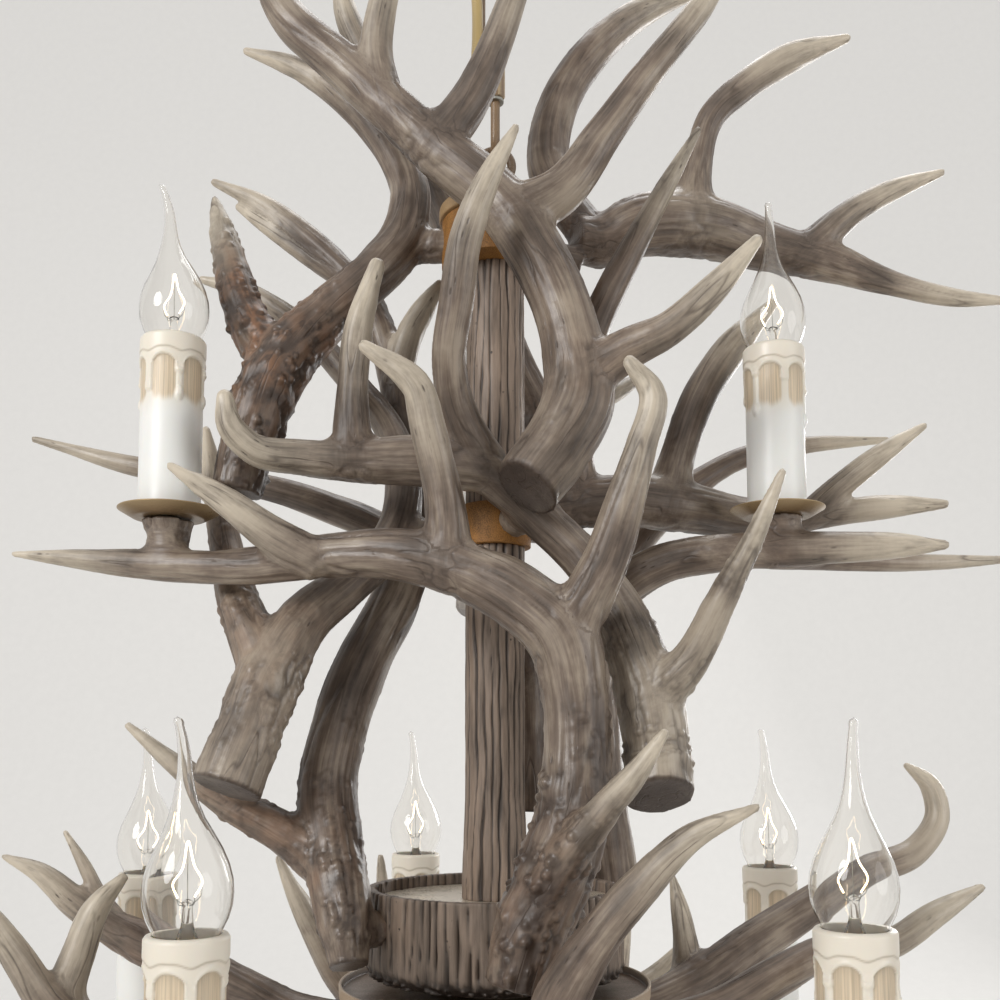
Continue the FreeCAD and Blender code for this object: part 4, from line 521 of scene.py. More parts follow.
def plain_zinc():
    """Zinc-plated steel: pale grey metal, with the cloudy bloom of the plating bath."""
    finish, tree, place = new_finish("zinc_plated_steel")
    bloom = add(tree, "TexNoise", {"Vector": place, "Scale": 160.0, "Detail": 6.0})
    body = add(tree, "ValToRGB", {"Fac": bloom}, [(0.35, linear("#85857f")), (0.65, linear("#adaca5"))])
    gloss = add(tree, "MapRange", {"Value": bloom, "From Min": 0.3, "From Max": 0.7, "To Min": 0.42, "To Max": 0.56})
    shader = add(tree, "BsdfPrincipled", {"Base Color": body, "Metallic": 1.0, "Roughness": gloss})
    add(tree, "OutputMaterial", {"Surface": shader})
    return finish


def dipped_wax(colours):
    """A moulded sleeve dipped to look like a dripping candle: cream wax above, tan combed panels between the drips,
    plain white below, all with a satin skin. Painted shade darkens the top of each panel under its wax arch and beside
    the drips, and a painted shadow line runs under the collar's edge."""
    finish, tree, place = new_finish("moulded_candle_wax")
    comb = add(tree, "VectorMath", {0: place, 1: (1300, 1300, 24)}, operation="MULTIPLY")
    comb = add(tree, "TexNoise", {"Vector": comb, "Scale": 1.0, "Detail": 3.0})
    cloud = add(tree, "TexNoise", {"Vector": place, "Scale": 110.0, "Detail": 3.0})
    panel_tone = add(tree, "ValToRGB", {"Fac": comb}, [(0.3, shade(colours.wax_panel, 0.78)),
                                                       (0.68, shade(colours.wax_panel, 1.2))])
    # Painted shade: the panel's tan is darkened at its top under the wax arch and beside the drips.
    arch_shade = add(tree, "Attribute", attribute_name="arch_shade")
    panel_tone = add(tree, "Mix", {0: arch_shade.outputs[2], 6: panel_tone, 7: shade(colours.wax_panel, 0.62)},
                     data_type="RGBA")
    cream = add(tree, "Attribute", attribute_name="cream")
    body = add(tree, "Mix", {0: cream.outputs[2], 6: shade(colours.sleeve), 7: shade(colours.wax)}, data_type="RGBA")
    # A painted shadow: a thin darker line just under the collar's scalloped edge, where the collar stands out of the
    # sleeve.
    shadow_line = add(tree, "Attribute", attribute_name="shadow_line")
    body = add(tree, "Mix", {0: shadow_line.outputs[2], 6: body, 7: shade(colours.wax_panel, 0.6)}, data_type="RGBA")
    panel = add(tree, "Attribute", attribute_name="panel")
    body = add(tree, "Mix", {0: panel.outputs[2], 6: body, 7: panel_tone}, data_type="RGBA")
    gloss = add(tree, "MapRange", {"Value": cloud, "From Min": 0.3, "From Max": 0.7, "To Min": 0.3, "To Max": 0.44})
    grain = add(tree, "Math", {0: comb, 1: panel.outputs[2]}, operation="MULTIPLY")
    bump = add(tree, "Bump", {"Strength": 0.5, "Distance": 0.0004, "Height": grain})
    shader = add(tree, "BsdfPrincipled", {"Base Color": body, "Roughness": gloss, "Normal": bump,
                                          "Subsurface Weight": 0.12, "Subsurface Radius": (0.003, 0.002, 0.0012),
                                          "Subsurface Scale": 1.0})
    add(tree, "OutputMaterial", {"Surface": shader})
    return finish


def blown_glass():
    """Clear soda-lime glass, blown thin: nearly invisible, with bright edges. Faint ripples come from blowing."""
    finish, tree, place = new_finish("blown_clear_glass")
    ripple = add(tree, "TexNoise", {"Vector": place, "Scale": 90.0, "Detail": 1.0})
    bump = add(tree, "Bump", {"Strength": 0.12, "Distance": 0.0004, "Height": ripple})
    shader = add(tree, "BsdfPrincipled", {"Base Color": linear("#fdfcfa"), "Roughness": 0.02, "IOR": 1.45,
                                          "Transmission Weight": 1.0, "Normal": bump})
    add(tree, "OutputMaterial", {"Surface": shader})
    return finish


def lamp_brass():
    """Rolled brass of a lamp's screw cap: warm metal with fine handling marks."""
    finish, tree, place = new_finish("rolled_cap_brass")
    marks = add(tree, "TexNoise", {"Vector": place, "Scale": 500.0, "Detail": 4.0})
    body = add(tree, "ValToRGB", {"Fac": marks}, [(0.35, linear("#a8854a")), (0.65, linear("#d3b274"))])
    gloss = add(tree, "MapRange", {"Value": marks, "From Min": 0.3, "From Max": 0.7, "To Min": 0.2, "To Max": 0.36})
    shader = add(tree, "BsdfPrincipled", {"Base Color": body, "Metallic": 1.0, "Roughness": gloss})
    add(tree, "OutputMaterial", {"Surface": shader})
    return finish


def lamp_glow(colours):
    """The white-hot coil: its glow varied in small patches between the glow colour and near white."""
    finish, tree, place = new_finish("glowing_tungsten")
    coil = add(tree, "TexNoise", {"Vector": place, "Scale": 300.0})
    heat = add(tree, "ValToRGB", {"Fac": coil}, [(0.3, shade(colours.glow)), (0.6, linear("#fff1d6"))])
    shader = add(tree, "BsdfPrincipled", {"Base Color": linear("#4a4a4a"), "Metallic": 1.0, "Roughness": 0.4,
                                          "Emission Color": heat, "Emission Strength": colours.glow_strength})
    add(tree, "OutputMaterial", {"Surface": shader})
    return finish


def moulded_plastic(name, colour, roughness):
    """Moulded plastic: even colour, a fine grain from the mould."""
    finish, tree, place = new_finish(name)
    grain = add(tree, "TexNoise", {"Vector": place, "Scale": 900.0, "Detail": 3.0})
    body = add(tree, "ValToRGB", {"Fac": grain}, [(0.3, shade(colour, 0.9)), (0.7, shade(colour))])
    bump = add(tree, "Bump", {"Strength": 0.25, "Distance": 0.0002, "Height": grain})
    shader = add(tree, "BsdfPrincipled", {"Base Color": body, "Roughness": roughness, "Normal": bump})
    add(tree, "OutputMaterial", {"Surface": shader})
    return finish


def clear_cord_jacket(colours):
    """Clear gold vinyl over stranded wire: glossy, with the twist of the strands showing through."""
    finish, tree, place = new_finish("clear_gold_vinyl")
    twist = add(tree, "TexWave", {"Vector": place, "Scale": 420.0, "Distortion": 1.0}, wave_type="BANDS",
                bands_direction="DIAGONAL")
    body = add(tree, "ValToRGB", {"Fac": twist}, [(0.2, shade(colours.cord, 0.84)), (0.8, shade(colours.cord))])
    shader = add(tree, "BsdfPrincipled", {"Base Color": body, "Roughness": 0.3, "Coat Weight": 0.7,
                                          "Coat Roughness": 0.08, "IOR": 1.53})
    add(tree, "OutputMaterial", {"Surface": shader})
    return finish


# ---------------------------------------------------------------- modelling

def deselect():
    bpy.ops.object.select_all(action="DESELECT")


def select(piece):
    deselect()
    piece.select_set(True)
    bpy.context.view_layer.objects.active = piece
    return piece


def modify(piece, kind, **settings):
    """Adds a modifier, sets it and applies it."""
    select(piece)
    modifier = piece.modifiers.new(kind.title(), kind)
    for name, value in settings.items():
        setattr(modifier, name, value)
    bpy.ops.object.modifier_apply(modifier=modifier.name)


def points_of(piece):
    places = np.empty(len(piece.data.vertices) * 3)
    piece.data.vertices.foreach_get("co", places)
    return places.reshape(-1, 3)


def normals_of(piece):
    normals = np.empty(len(piece.data.vertices) * 3)
    piece.data.vertices.foreach_get("normal", normals)
    return normals.reshape(-1, 3)


def move_points(piece, places):
    piece.data.vertices.foreach_set("co", np.ascontiguousarray(places, dtype=np.float32).ravel())
    piece.data.update()


def paint(piece, name, values):
    """Keeps a value or a place for each point, which the finish reads."""
    kind = "FLOAT_VECTOR" if np.ndim(values) == 2 else "FLOAT"
    layer = piece.data.attributes.new(name, kind, "POINT")
    layer.data.foreach_set("vector" if kind == "FLOAT_VECTOR" else "value",
                           np.ascontiguousarray(values, dtype=np.float32).ravel())


def rippled(places):
    """Smooth noise, from -1 to 1, at each place."""
    return np.array([noise.noise(place) for place in places.tolist()])


def eased(values, low, high):
    share = np.clip((values - low) / (high - low), 0, 1)
    return share * share * (3 - 2 * share)


def settle(piece, body, finish, slot, *nodes, smooth=30):
    """Finishes a piece: its surface, the body it rides on and the CAD nodes that it stands for."""
    select(piece)
    if smooth:
        bpy.ops.object.shade_smooth_by_angle(angle=math.radians(smooth))
    piece.data.materials.clear()
    piece.data.materials.append(finish)
    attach(piece, body)
    if nodes:
        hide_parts(*nodes)
    return piece


def drawn(name, outline, closed=False):
    """A new piece that is a line through points, ready to be spun or extruded."""
    mesh = bpy.data.meshes.new(name)
    edges = [(k, k + 1) for k in range(len(outline) - 1)] + ([(len(outline) - 1, 0)] if closed else [])
    mesh.from_pydata(outline, edges, [])
    piece = bpy.data.objects.new(name, mesh)
    bpy.context.scene.collection.objects.link(piece)
    return piece


def weld():
    """Joins the doubled points of the piece in edit mode, turns its faces outwards and leaves edit mode."""
    bpy.ops.mesh.select_all(action="SELECT")
    bpy.ops.mesh.remove_doubles(threshold=1e-6)
    bpy.ops.mesh.normals_make_consistent(inside=False)
    bpy.ops.object.mode_set(mode="OBJECT")


def spun(name, profile, centre=(0, 0), steps=64, closed=False):
    """A turned piece: a profile of radii and heights in metres, spun about an upright axis."""
    piece = drawn(name, [(centre[0] + radius, centre[1], height) for radius, height in profile], closed)
    select(piece)
    bpy.ops.object.mode_set(mode="EDIT")
    bpy.ops.mesh.select_all(action="SELECT")
    bpy.ops.mesh.spin(steps=steps, angle=2 * math.pi, center=(centre[0], centre[1], 0), axis=(0, 0, 1))
    weld()
    return piece


def eased_profile(corners, bevel, step=None):
    """Rounds the corners of a profile, and divides its long runs where a step is given."""
    rounded = []
    for place, corner in enumerate(corners):
        here = np.array(corner, float)
        if place in (0, len(corners) - 1):
            rounded.append(here)
            continue
        before, after = np.array(corners[place - 1], float), np.array(corners[place + 1], float)
        back, ahead = before - here, after - here
        reach = min(bevel, 0.45 * np.linalg.norm(back), 0.45 * np.linalg.norm(ahead))
        start = here + back / np.linalg.norm(back) * reach
        end = here + ahead / np.linalg.norm(ahead) * reach
        for share in (0, 0.33, 0.67, 1):
            rounded.append((1 - share) ** 2 * start + 2 * share * (1 - share) * here + share ** 2 * end)
    if not step:
        return [tuple(point) for point in rounded]
    divided = [rounded[0]]
    for start, end in zip(rounded, rounded[1:]):
        parts = max(1, round(np.linalg.norm(end - start) / step))
        divided += [start + (end - start) * (part + 1) / parts for part in range(parts)]
    return [tuple(point) for point in divided]


def turned(name, corners, bevel, finish, slot, node, body=HANGING, centre=(0, 0), steps=64, closed=False, smooth=30):
    """A turned piece with rounded corners, in its finish, for one CAD node."""
    piece = spun(name, eased_profile(corners, bevel), centre, steps, closed)
    return settle(piece, body, finish, slot, *([node] if node else []), smooth=smooth)


def tube(name, paths, sides=8, closed=False):
    """A piece of round wire or flesh along each path: points and radii in metres, swept and made a mesh."""
    curve = bpy.data.curves.new(name, "CURVE")
    curve.dimensions = "3D"
    curve.bevel_depth = 1.0
    curve.bevel_resolution = sides
    curve.use_fill_caps = True
    for places, radii in paths:
        spline = curve.splines.new("POLY")
        spline.points.add(len(places) - 1)
        spline.points.foreach_set("co", np.hstack([places, np.ones((len(places), 1))]).ravel())
        spline.points.foreach_set("radius", np.broadcast_to(radii, len(places)).astype(float))
        spline.use_cyclic_u = closed
    piece = bpy.data.objects.new(name, curve)
    bpy.context.scene.collection.objects.link(piece)
    select(piece)
    bpy.ops.object.convert(target="MESH")
    bpy.ops.object.mode_set(mode="EDIT")
    weld()
    return bpy.context.view_layer.objects.active


def joined(name, pieces):
    deselect()
    for piece in pieces:
        piece.select_set(True)
    bpy.context.view_layer.objects.active = pieces[0]
    bpy.ops.object.join()
    pieces[0].name = name
    return pieces[0]


def flowing(stations, spacing):
    """A smooth path through stations of place and radius, with its points evenly spaced."""
    stations = np.array(stations, float)
    steps = np.linalg.norm(np.diff(stations[:, :3], axis=0), axis=1)
    marks = np.concatenate([[0], np.cumsum(steps)])
    slopes = np.gradient(stations, marks, axis=0)
    wanted = np.linspace(0, marks[-1], max(3, int(marks[-1] / spacing) + 1))
    place = np.clip(np.searchsorted(marks, wanted, side="right") - 1, 0, len(marks) - 2)
    length = (marks[place + 1] - marks[place])[:, None]
    share = (wanted[:, None] - marks[place][:, None]) / length
    path = ((2 * share ** 3 - 3 * share ** 2 + 1) * stations[place]
            + (share ** 3 - 2 * share ** 2 + share) * length * slopes[place]
            + (3 * share ** 2 - 2 * share ** 3) * stations[place + 1]
            + (share ** 3 - share ** 2) * length * slopes[place + 1])
    path[:, 3] = np.maximum(path[:, 3], 0.6 * stations[:, 3].min())
    return path


# ---------------------------------------------------------------- antlers

def candle_foot(candle):
    """The centre of a candle sleeve's foot. Its CAD node has a corner of its band on the +X side."""
    low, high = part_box(candle + "_sleeve")
    return Vector((high[0] - 16 * MM, (low[1] + high[1]) / 2, low[2]))


def seat_reach(height):
    """How far from the axis the turned piece at this height reaches."""
    for node in ("hub", "middle_hub", "drum", "lower_hub"):
        low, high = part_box(node)
        if low[2] < height < high[2]:
            return high[0]
    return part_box("bark_sleeve_upper")[1][0]


def rounded_tip(path):
    """Adds a blunt rounded end to a path."""
    along = path[-1, :3] - path[-2, :3]
    along /= np.linalg.norm(along)
    width = path[-1, 3]
    ends = [np.append(path[-1, :3] + along * width * math.sin(turn), width * math.cos(turn))
            for turn in (0.5, 0.95, 1.3)]
    return np.vstack([path] + ends)


def antler_branches(form, spacing):
    """The paths of an antler's beam, tines, lugs and bosses in metres, each with how it is weathered."""

    def placed(stations):
        return [(x * MM, y * MM, z * MM + HUB_TOP, radius * MM) for x, y, z, radius in stations]

    branches = [("beam", rounded_tip(flowing(placed(form["beam"]), spacing)))]
    for number, tine in enumerate(form["tines"]):
        branches.append(("brow" if number == 0 else "tine", rounded_tip(flowing(placed(tine), spacing))))
    for x, y, z in form["lugs"]:
        height = z * MM + HUB_TOP
        reach = (seat_reach(height) - 4 * MM) / (math.hypot(x, y) * MM)
        lug = [(x * MM, y * MM, height, 9 * MM), (x * MM * reach, y * MM * reach, height, 9 * MM)]
        branches.append(("lug", flowing(lug, spacing)))
    for candle, start in form.get("carries", {}).items():
        foot = candle_foot(candle)
        top = foot.z - 2.2 * MM
        neck = placed([start]) + [(foot.x, foot.y, top - 5 * MM, 11.9 * MM), (foot.x, foot.y, top, 13.2 * MM)]
        branches.append(("boss", flowing(neck, spacing)))
    return branches


def edge_ends(piece):
    ends = np.empty(len(piece.data.edges) * 2, dtype=np.int64)
    piece.data.edges.foreach_get("vertices", ends)
    return ends.reshape(-1, 2)


def neighbour_mean(places, ends, counts):
    """The middle of each point's neighbours."""
    total = np.empty_like(places)
    for axis in range(3):
        total[:, axis] = (np.bincount(ends[:, 0], places[ends[:, 1], axis], len(places))
                          + np.bincount(ends[:, 1], places[ends[:, 0], axis], len(places)))
    return total / counts[:, None]


def smoothed(places, ends, counts, rounds):
    """Evens out small bumps, without the shrinking that plain averaging brings."""
    for share in (0.5, -0.53) * rounds:
        places = places + share * (neighbour_mean(places, ends, counts) - places)
    return places


def webbed(piece, rounds):
    """Smooths the voxel steps away and fills the crotches between branches, where a real antler is webbed."""
    ends = edge_ends(piece)
    places = points_of(piece)
    counts = np.maximum(np.bincount(ends.ravel(), minlength=len(places)), 1)
    places = smoothed(places, ends, counts, 2)
    for turn in range(rounds):
        if turn % 8 == 0:
            move_points(piece, places)
            normals = normals_of(piece)
        pull = neighbour_mean(places, ends, counts) - places
        outward = np.einsum("ij,ij->i", pull, normals)
        places = places + 0.8 * pull * (outward > 0)[:, None]
    move_points(piece, smoothed(places, ends, counts, 3))


def along_branch(places, path, number):
    """Where each point lies on a branch: across it in two ways, along it, and its distance from the branch's skin."""
    centres, widths = path[:, :3], path[:, 3]
    along = np.gradient(centres, axis=0)
    along /= np.linalg.norm(along, axis=1)[:, None]
    marks = np.concatenate([[0], np.cumsum(np.linalg.norm(np.diff(centres, axis=0), axis=1))])
    side = Vector(along[0]).orthogonal().normalized()
    sides = []
    for direction in along:
        direction = Vector(direction)
        side = (side - direction * side.dot(direction)).normalized()
        sides.append(side[:])
    sides = np.array(sides)
    beside = np.cross(along, sides)
    spread = ((places ** 2).sum(axis=1)[:, None] + (centres ** 2).sum(axis=1)[None] - 2 * places @ centres.T)
    nearest = spread.argmin(axis=1)
    gap = places - centres[nearest]
    flow = np.stack([np.einsum("ij,ij->i", gap, sides[nearest]), np.einsum("ij,ij->i", gap, beside[nearest]),
                     marks[nearest] + np.einsum("ij,ij->i", gap, along[nearest])], axis=1)
    outside = np.hypot(flow[:, 0], flow[:, 1]) - widths[nearest]
    shift = np.array([0.17, 0.31, 0.53]) * (number + 1)
    return flow + shift, outside, widths[nearest], marks[nearest], marks[-1]


def slope_the_cut(places, base, slope):
    """Slopes the sawn base of a beam so that its face shows from the room."""
    out = base[0, :3] - base[1, :3]
    out /= np.linalg.norm(out)
    room = np.array([0, -1, 0]) + out[1] * out
    room /= np.linalg.norm(room)
    gap = places - base[0, :3]
    aside = np.linalg.norm(gap - np.outer(gap @ out, out), axis=1)
    share = eased(-(gap @ out), 42 * MM, 4 * MM) * (aside < 1.35 * base[0, 3])
    return places - np.outer(share * slope * (gap @ room + base[0, 3]), out)


def carve(piece, branches, casting, sizes, seed):
    """Cuts the long flutes, raises the pearls near the base, and keeps what the stain follows."""
    pearled, warmth, bleached, slope = casting
    places, normals = points_of(piece), normals_of(piece)
    flows, weights, widths, starts, ends = [], [], [], [], []
    for number, (kind, path) in enumerate(branches):
        flow, outside, width, mark, length = along_branch(places, path, number + 10 * seed)
        flows.append(flow)
        weights.append(np.exp(-np.maximum(outside, 0) / (2.5 * MM)) * (0.02 if kind in ("lug", "boss") else 1))
        widths.append(width)
        starts.append(mark if kind == "beam" else np.full(len(places), 1.0))
        ends.append(length - mark if kind in ("beam", "tine", "brow") else np.full(len(places), 1.0))
    weights = np.array(weights) + 1e-9
    order = np.argsort(-weights, axis=0)
    first, second = order[0], order[1] if len(branches) > 1 else order[0]
    rows = np.arange(len(places))
    beside = weights[second, rows] / (weights[first, rows] + weights[second, rows])
    flow, flow_beside = np.array(flows)[first, rows], np.array(flows)[second, rows]
    width = np.array(widths)[first, rows]
    from_base = np.array(starts).min(axis=0)
    from_tip = np.array(ends)[first, rows]

    # The sawn base stays flat.
    base = branches[0][1]
    out = base[0, :3] - base[1, :3]
    out /= np.linalg.norm(out)
    gap = places - base[0, :3]
    ahead = gap @ out
    aside = np.linalg.norm(gap - np.outer(ahead, out), axis=1)
    sawn = eased(ahead, -2.2 * MM, -0.6 * MM) * (ahead < 2.5 * MM) * (aside < 1.15 * base[0, 3])
    thick = np.clip(width / (12 * MM), 0.3, 1.1)

    def streaked(across, along):
        scale = np.array([1 / across, 1 / across, 1 / along])
        return (1 - beside) * rippled(flow * scale) + beside * rippled(flow_beside * scale)

    def valleys(across, along, narrow):
        return np.clip(1 - np.abs(streaked(across, along)) / narrow, 0, 1)

    flutes = valleys(sizes.flute_width, 80 * MM, 0.2)
    lines = valleys(0.4 * sizes.flute_width, 55 * MM, 0.17)
    swell = rippled(places / (34 * MM) + seed)
    patch = rippled(places / (26 * MM) + 7 + seed)
    kinds = np.array([1.0 if kind == "brow" else 0.0 for kind, path in branches])[first]
    roughness = eased(from_base, 190 * MM, 45 * MM) + 0.9 * kinds * eased(from_tip, 12 * MM, 45 * MM) * pearled
    roughness = np.clip(roughness * eased(patch, -0.55, 0.15), 0, 1) * pearled
    pearls, rims = np.zeros(len(places)), np.zeros(len(places))
    for row in np.nonzero(roughness > 0.03)[0]:
        near, middles = noise.voronoi(places[row] / sizes.pearl_spacing)[:2]
        chosen = noise.noise(middles[0] * 3.1)
        if chosen > -0.2:
            share = near[0] / (0.32 + 0.3 * (chosen + 0.2))
            pearls[row] = max(0.0, 1 - share ** 2) * min(1.2, 0.65 + 1.2 * chosen)
            rims[row] = math.exp(-((share - 1.05) / 0.28) ** 2)
    coarse = rippled(places / (9 * MM))
    rise = (-sizes.flute_depth * flutes * (0.65 + 0.5 * patch + 0.8 * pearled * (1 - roughness))
            - 0.25 * sizes.flute_depth * lines + sizes.pearl_height * pearls * roughness
            + 0.8 * MM * swell + 0.6 * sizes.pearl_height * roughness * coarse) * thick
    places = places + normals * (rise * (1 - sawn))[:, None]
    if slope:
        places = slope_the_cut(places, base, slope)
    move_points(piece, places)

    hollow = 0.6 * rims + 1.1 * np.clip(-coarse - 0.05, 0, 1)
    stain = np.clip((0.5 + 0.3 * pearled) * flutes ** 2 * eased(patch, -0.3, 0.45)
                    + 0.25 * lines ** 2 * (0.3 + 0.7 * roughness) + (0.38 + 1.15 * hollow) * roughness, 0, 0.88)
    wear = np.maximum(eased(from_tip, 90 * MM, 8 * MM), bleached * eased(from_base, 120 * MM, 50 * MM))
    stain = np.clip(stain * (1 - 0.6 * wear) * (1 - sawn) + 0.72 * sawn, 0, 0.95)
    wear = wear * (1 - sawn)
    near_fork = np.exp(-(np.linalg.norm(places - branches[1][1][0, :3], axis=1) / (38 * MM)) ** 2)
    warm = warmth * np.clip((kinds * eased(from_tip, 20 * MM, 70 * MM) + near_fork) * (0.75 + 0.9 * coarse), 0, 1)
    for name, values in (("flow", flow), ("flow_beside", flow_beside), ("beside", beside), ("wear", wear),
                         ("stain", stain), ("warm", warm)):
        paint(piece, name, values)


def make_antler(name, form, seed, sizes, finish):
    branches = antler_branches(form, 3 * MM)
    detail = sizes.antler_detail * 1
    piece = tube(name + "_carved", [(path[:, :3], path[:, 3]) for kind, path in branches])
    modify(piece, "REMESH", mode="VOXEL", voxel_size=detail, adaptivity=0)
    webbed(piece, int(60 * (1.25 * MM / detail) ** 2))
    carve(piece, branches, CASTINGS.get(name, PLAIN_CASTING), sizes, seed)
    settle(piece, HANGING, finish, "antler", name, smooth=0)
    bpy.ops.object.shade_smooth()


class ChandelierAntlers(bpy.types.Operator):
    """Makes the seventeen carved antlers, each one casting."""
    bl_idname = "chandelier.antlers"
    bl_label = "Antlers"

    def execute(self, context):
        sizes = context.scene.chandelier_sizes
        finish = stained_resin(context.scene.chandelier_colours)
        for seed, (name, form) in enumerate(ANTLERS.items()):
            make_antler(name, form, seed, sizes, finish)
        return {"FINISHED"}


# ---------------------------------------------------------------- ceiling fitting, chain and cord

def wire_loop(name, node, plane, wire):
    """A link bent from round wire, as tall and as wide as its CAD node."""
    low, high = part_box(node)
    across = 0 if plane == "XZ" else 1
    half = (high[across] - low[across]) / 2 - wire
    middle = (high[across] + low[across]) / 2
    top, bottom = high[2] - wire - half, low[2] + wire + half
    turns = np.linspace(0, math.pi, 17)
    outline = [(middle - half * math.cos(turn), top + half * math.sin(turn)) for turn in turns]
    outline += [(middle + half * math.cos(turn), bottom - half * math.sin(turn)) for turn in turns]
    other = (low[1 - across] + high[1 - across]) / 2
    places = [(a, other, z) if plane == "XZ" else (other, a, z) for a, z in outline]
    return tube(name, [(np.array(places), wire)], closed=True)


def turned_eye(node, up, across):
    """An eye on a turned stem, which stands up from it or, where up is -1, down. Across is 0 for an eye that faces Y
    and 1 for one that faces X."""
    low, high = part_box(node)
    foot, end = (low[2], high[2]) if up > 0 else (high[2], low[2])
    centre = foot + up * EYE_DROP
    places = np.zeros((40, 3))
    turns = np.linspace(0, 2 * math.pi, 41)[:-1]
    places[:, across] = EYE_RADIUS * np.sin(turns)
    places[:, 2] = centre + EYE_RADIUS * np.cos(turns)
    stem = [(0, end), (5 * MM, end), (5 * MM, centre + up * 13 * MM), (3.4 * MM, centre + up * 10 * MM),
            (0, centre + up * 8.6 * MM)]
    loop = tube(node + "_loop", [(places, CHAIN_WIRE)], closed=True)
    return joined(node + "_turned", [loop, spun(node + "_stem", eased_profile(stem, 0.8 * MM), steps=40)])


def edge_marks(piece, sharp):
    """Marks the points where faces meet at a sharp angle, where paint wears first."""
    normals = {}
    for face in piece.data.polygons:
        for corner in face.vertices:
            normals.setdefault(corner, []).append(face.normal)
    marks = [1.0 if min(normals[k][0].dot(n) for n in normals[k]) < math.cos(sharp) else 0.0
             for k in range(len(piece.data.vertices))]
    paint(piece, "edge", np.array(marks))


class ChandelierFitting(bpy.types.Operator):
    """Makes the canopy, its ring nut, the cord's bush and the eye that the chain hangs from."""
    bl_idname = "chandelier.fitting"
    bl_label = "Ceiling fitting"

    def execute(self, context):
        colours = context.scene.chandelier_colours
        bronze = brushed_on_paint("dabbed_bronze_paint", colours.bronze_paint, 0.22, 0.42)
        black = moulded_plastic("black_moulded_nylon", linear("#1c1b1a"), 0.45)
        zinc = plain_zinc()

        low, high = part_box("canopy")
        wide, wall = high[0], 1.5 * MM
        outline = [(5 * MM, low[2]), (38 * MM, low[2]), (wide, low[2] + 12 * MM), (wide, high[2])]
        inner = [(wide - wall, high[2]), (wide - wall, low[2] + 12.5 * MM), (38 * MM, low[2] + wall),
                 (5 * MM, low[2] + wall)]
        outline = eased_profile(outline, 5 * MM) + eased_profile(inner, 5 * MM)
        canopy = spun("spun_canopy", outline, steps=96, closed=True)
        settle(canopy, CEILING, bronze, "bronze_paint", "canopy", smooth=40)

        settle(turned_eye("canopy_eye", 1, 1), CEILING, bronze, "bronze_paint", "canopy_eye")

        low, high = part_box("cord_gland")
        centre = (CORD_ROUTE[0][0] * MM, CORD_ROUTE[0][1] * MM)
        bush = [(3.05 * MM, low[2]), (5.2 * MM, low[2]), (6 * MM, low[2] + 1 * MM), (6 * MM, low[2] + 8 * MM),
                (4.5 * MM, low[2] + 8 * MM), (4.5 * MM, high[2]), (3.05 * MM, high[2])]
        turned("ribbed_cord_bush", bush, 0.5 * MM, black, "black_plastic", "cord_gland", CEILING, centre, 40, True)
        for node, finish in (("ceiling_bracket", zinc), ("canopy_nut", bronze), ("antler_studs", zinc),
                             ("column_pipe", zinc)):
            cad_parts[node].data.materials.clear()
            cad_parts[node].data.materials.append(finish)
        return {"FINISHED"}


class ChandelierChain(bpy.types.Operator):
    """Makes the two chain links, the quick link with its hexagon nut, and the hub's eye."""
    bl_idname = "chandelier.chain"
    bl_label = "Chain"

    def execute(self, context):
        colours = context.scene.chandelier_colours
        bronze = brushed_on_paint("worn_bronze_paint", colours.bronze_paint, 0.22, 0.4)
        tan = brushed_on_paint("tan_bronze_paint", linear("#8f765b"), 0.16, 0.36, worn=linear("#cfbb98"))
        for name, node, plane, finish, slot in (
                ("bent_link_1", "chain_link_1", "YZ", bronze, "bronze_paint"),
                ("bent_link_2", "chain_link_2", "XZ", bronze, "bronze_paint"),
                ("quick_link_wire", "quick_link", "YZ", tan, "quick_link_zinc")):
            settle(wire_loop(name, node, plane, CHAIN_WIRE), node, finish, slot, node)

        nut_low, nut_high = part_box("quick_link_nut")
        centre = ((nut_low[0] + nut_high[0]) / 2, (nut_low[1] + nut_high[1]) / 2)
        radius = (nut_high[0] - nut_low[0]) / 2
        inner = CHAIN_WIRE + 0.15 * MM
        outline = [(inner, nut_low[2] + 2.2 * MM), (radius * 0.9, nut_low[2] + 2.2 * MM),
                   (radius, nut_low[2] + 3 * MM), (radius, nut_high[2] - 0.8 * MM), (radius * 0.9, nut_high[2]),
                   (inner, nut_high[2])]
        nut = spun("hexagon_nut", outline, centre, 6, closed=True)
        modify(nut, "BEVEL", width=0.35 * MM, segments=2, limit_method="ANGLE", angle_limit=math.radians(28))
        modify(nut, "SUBSURF", subdivision_type="SIMPLE", levels=2, render_levels=2)
        edge_marks(nut, math.radians(14))
        settle(nut, "quick_link_nut", tan, "quick_link_zinc", "quick_link_nut", smooth=20)
        ring = [(inner, nut_low[2]), (radius * 0.86, nut_low[2]), (radius * 0.86, nut_low[2] + 1.5 * MM),
                (inner, nut_low[2] + 1.5 * MM)]
        turned("nut_ring", ring, 0.3 * MM, plain_zinc(), "quick_link_zinc", None, "quick_link_nut", centre, 40, True)
        settle(turned_eye("hub_eye", -1, 0), HANGING, bronze, "bronze_paint", "hub_eye")
        return {"FINISHED"}


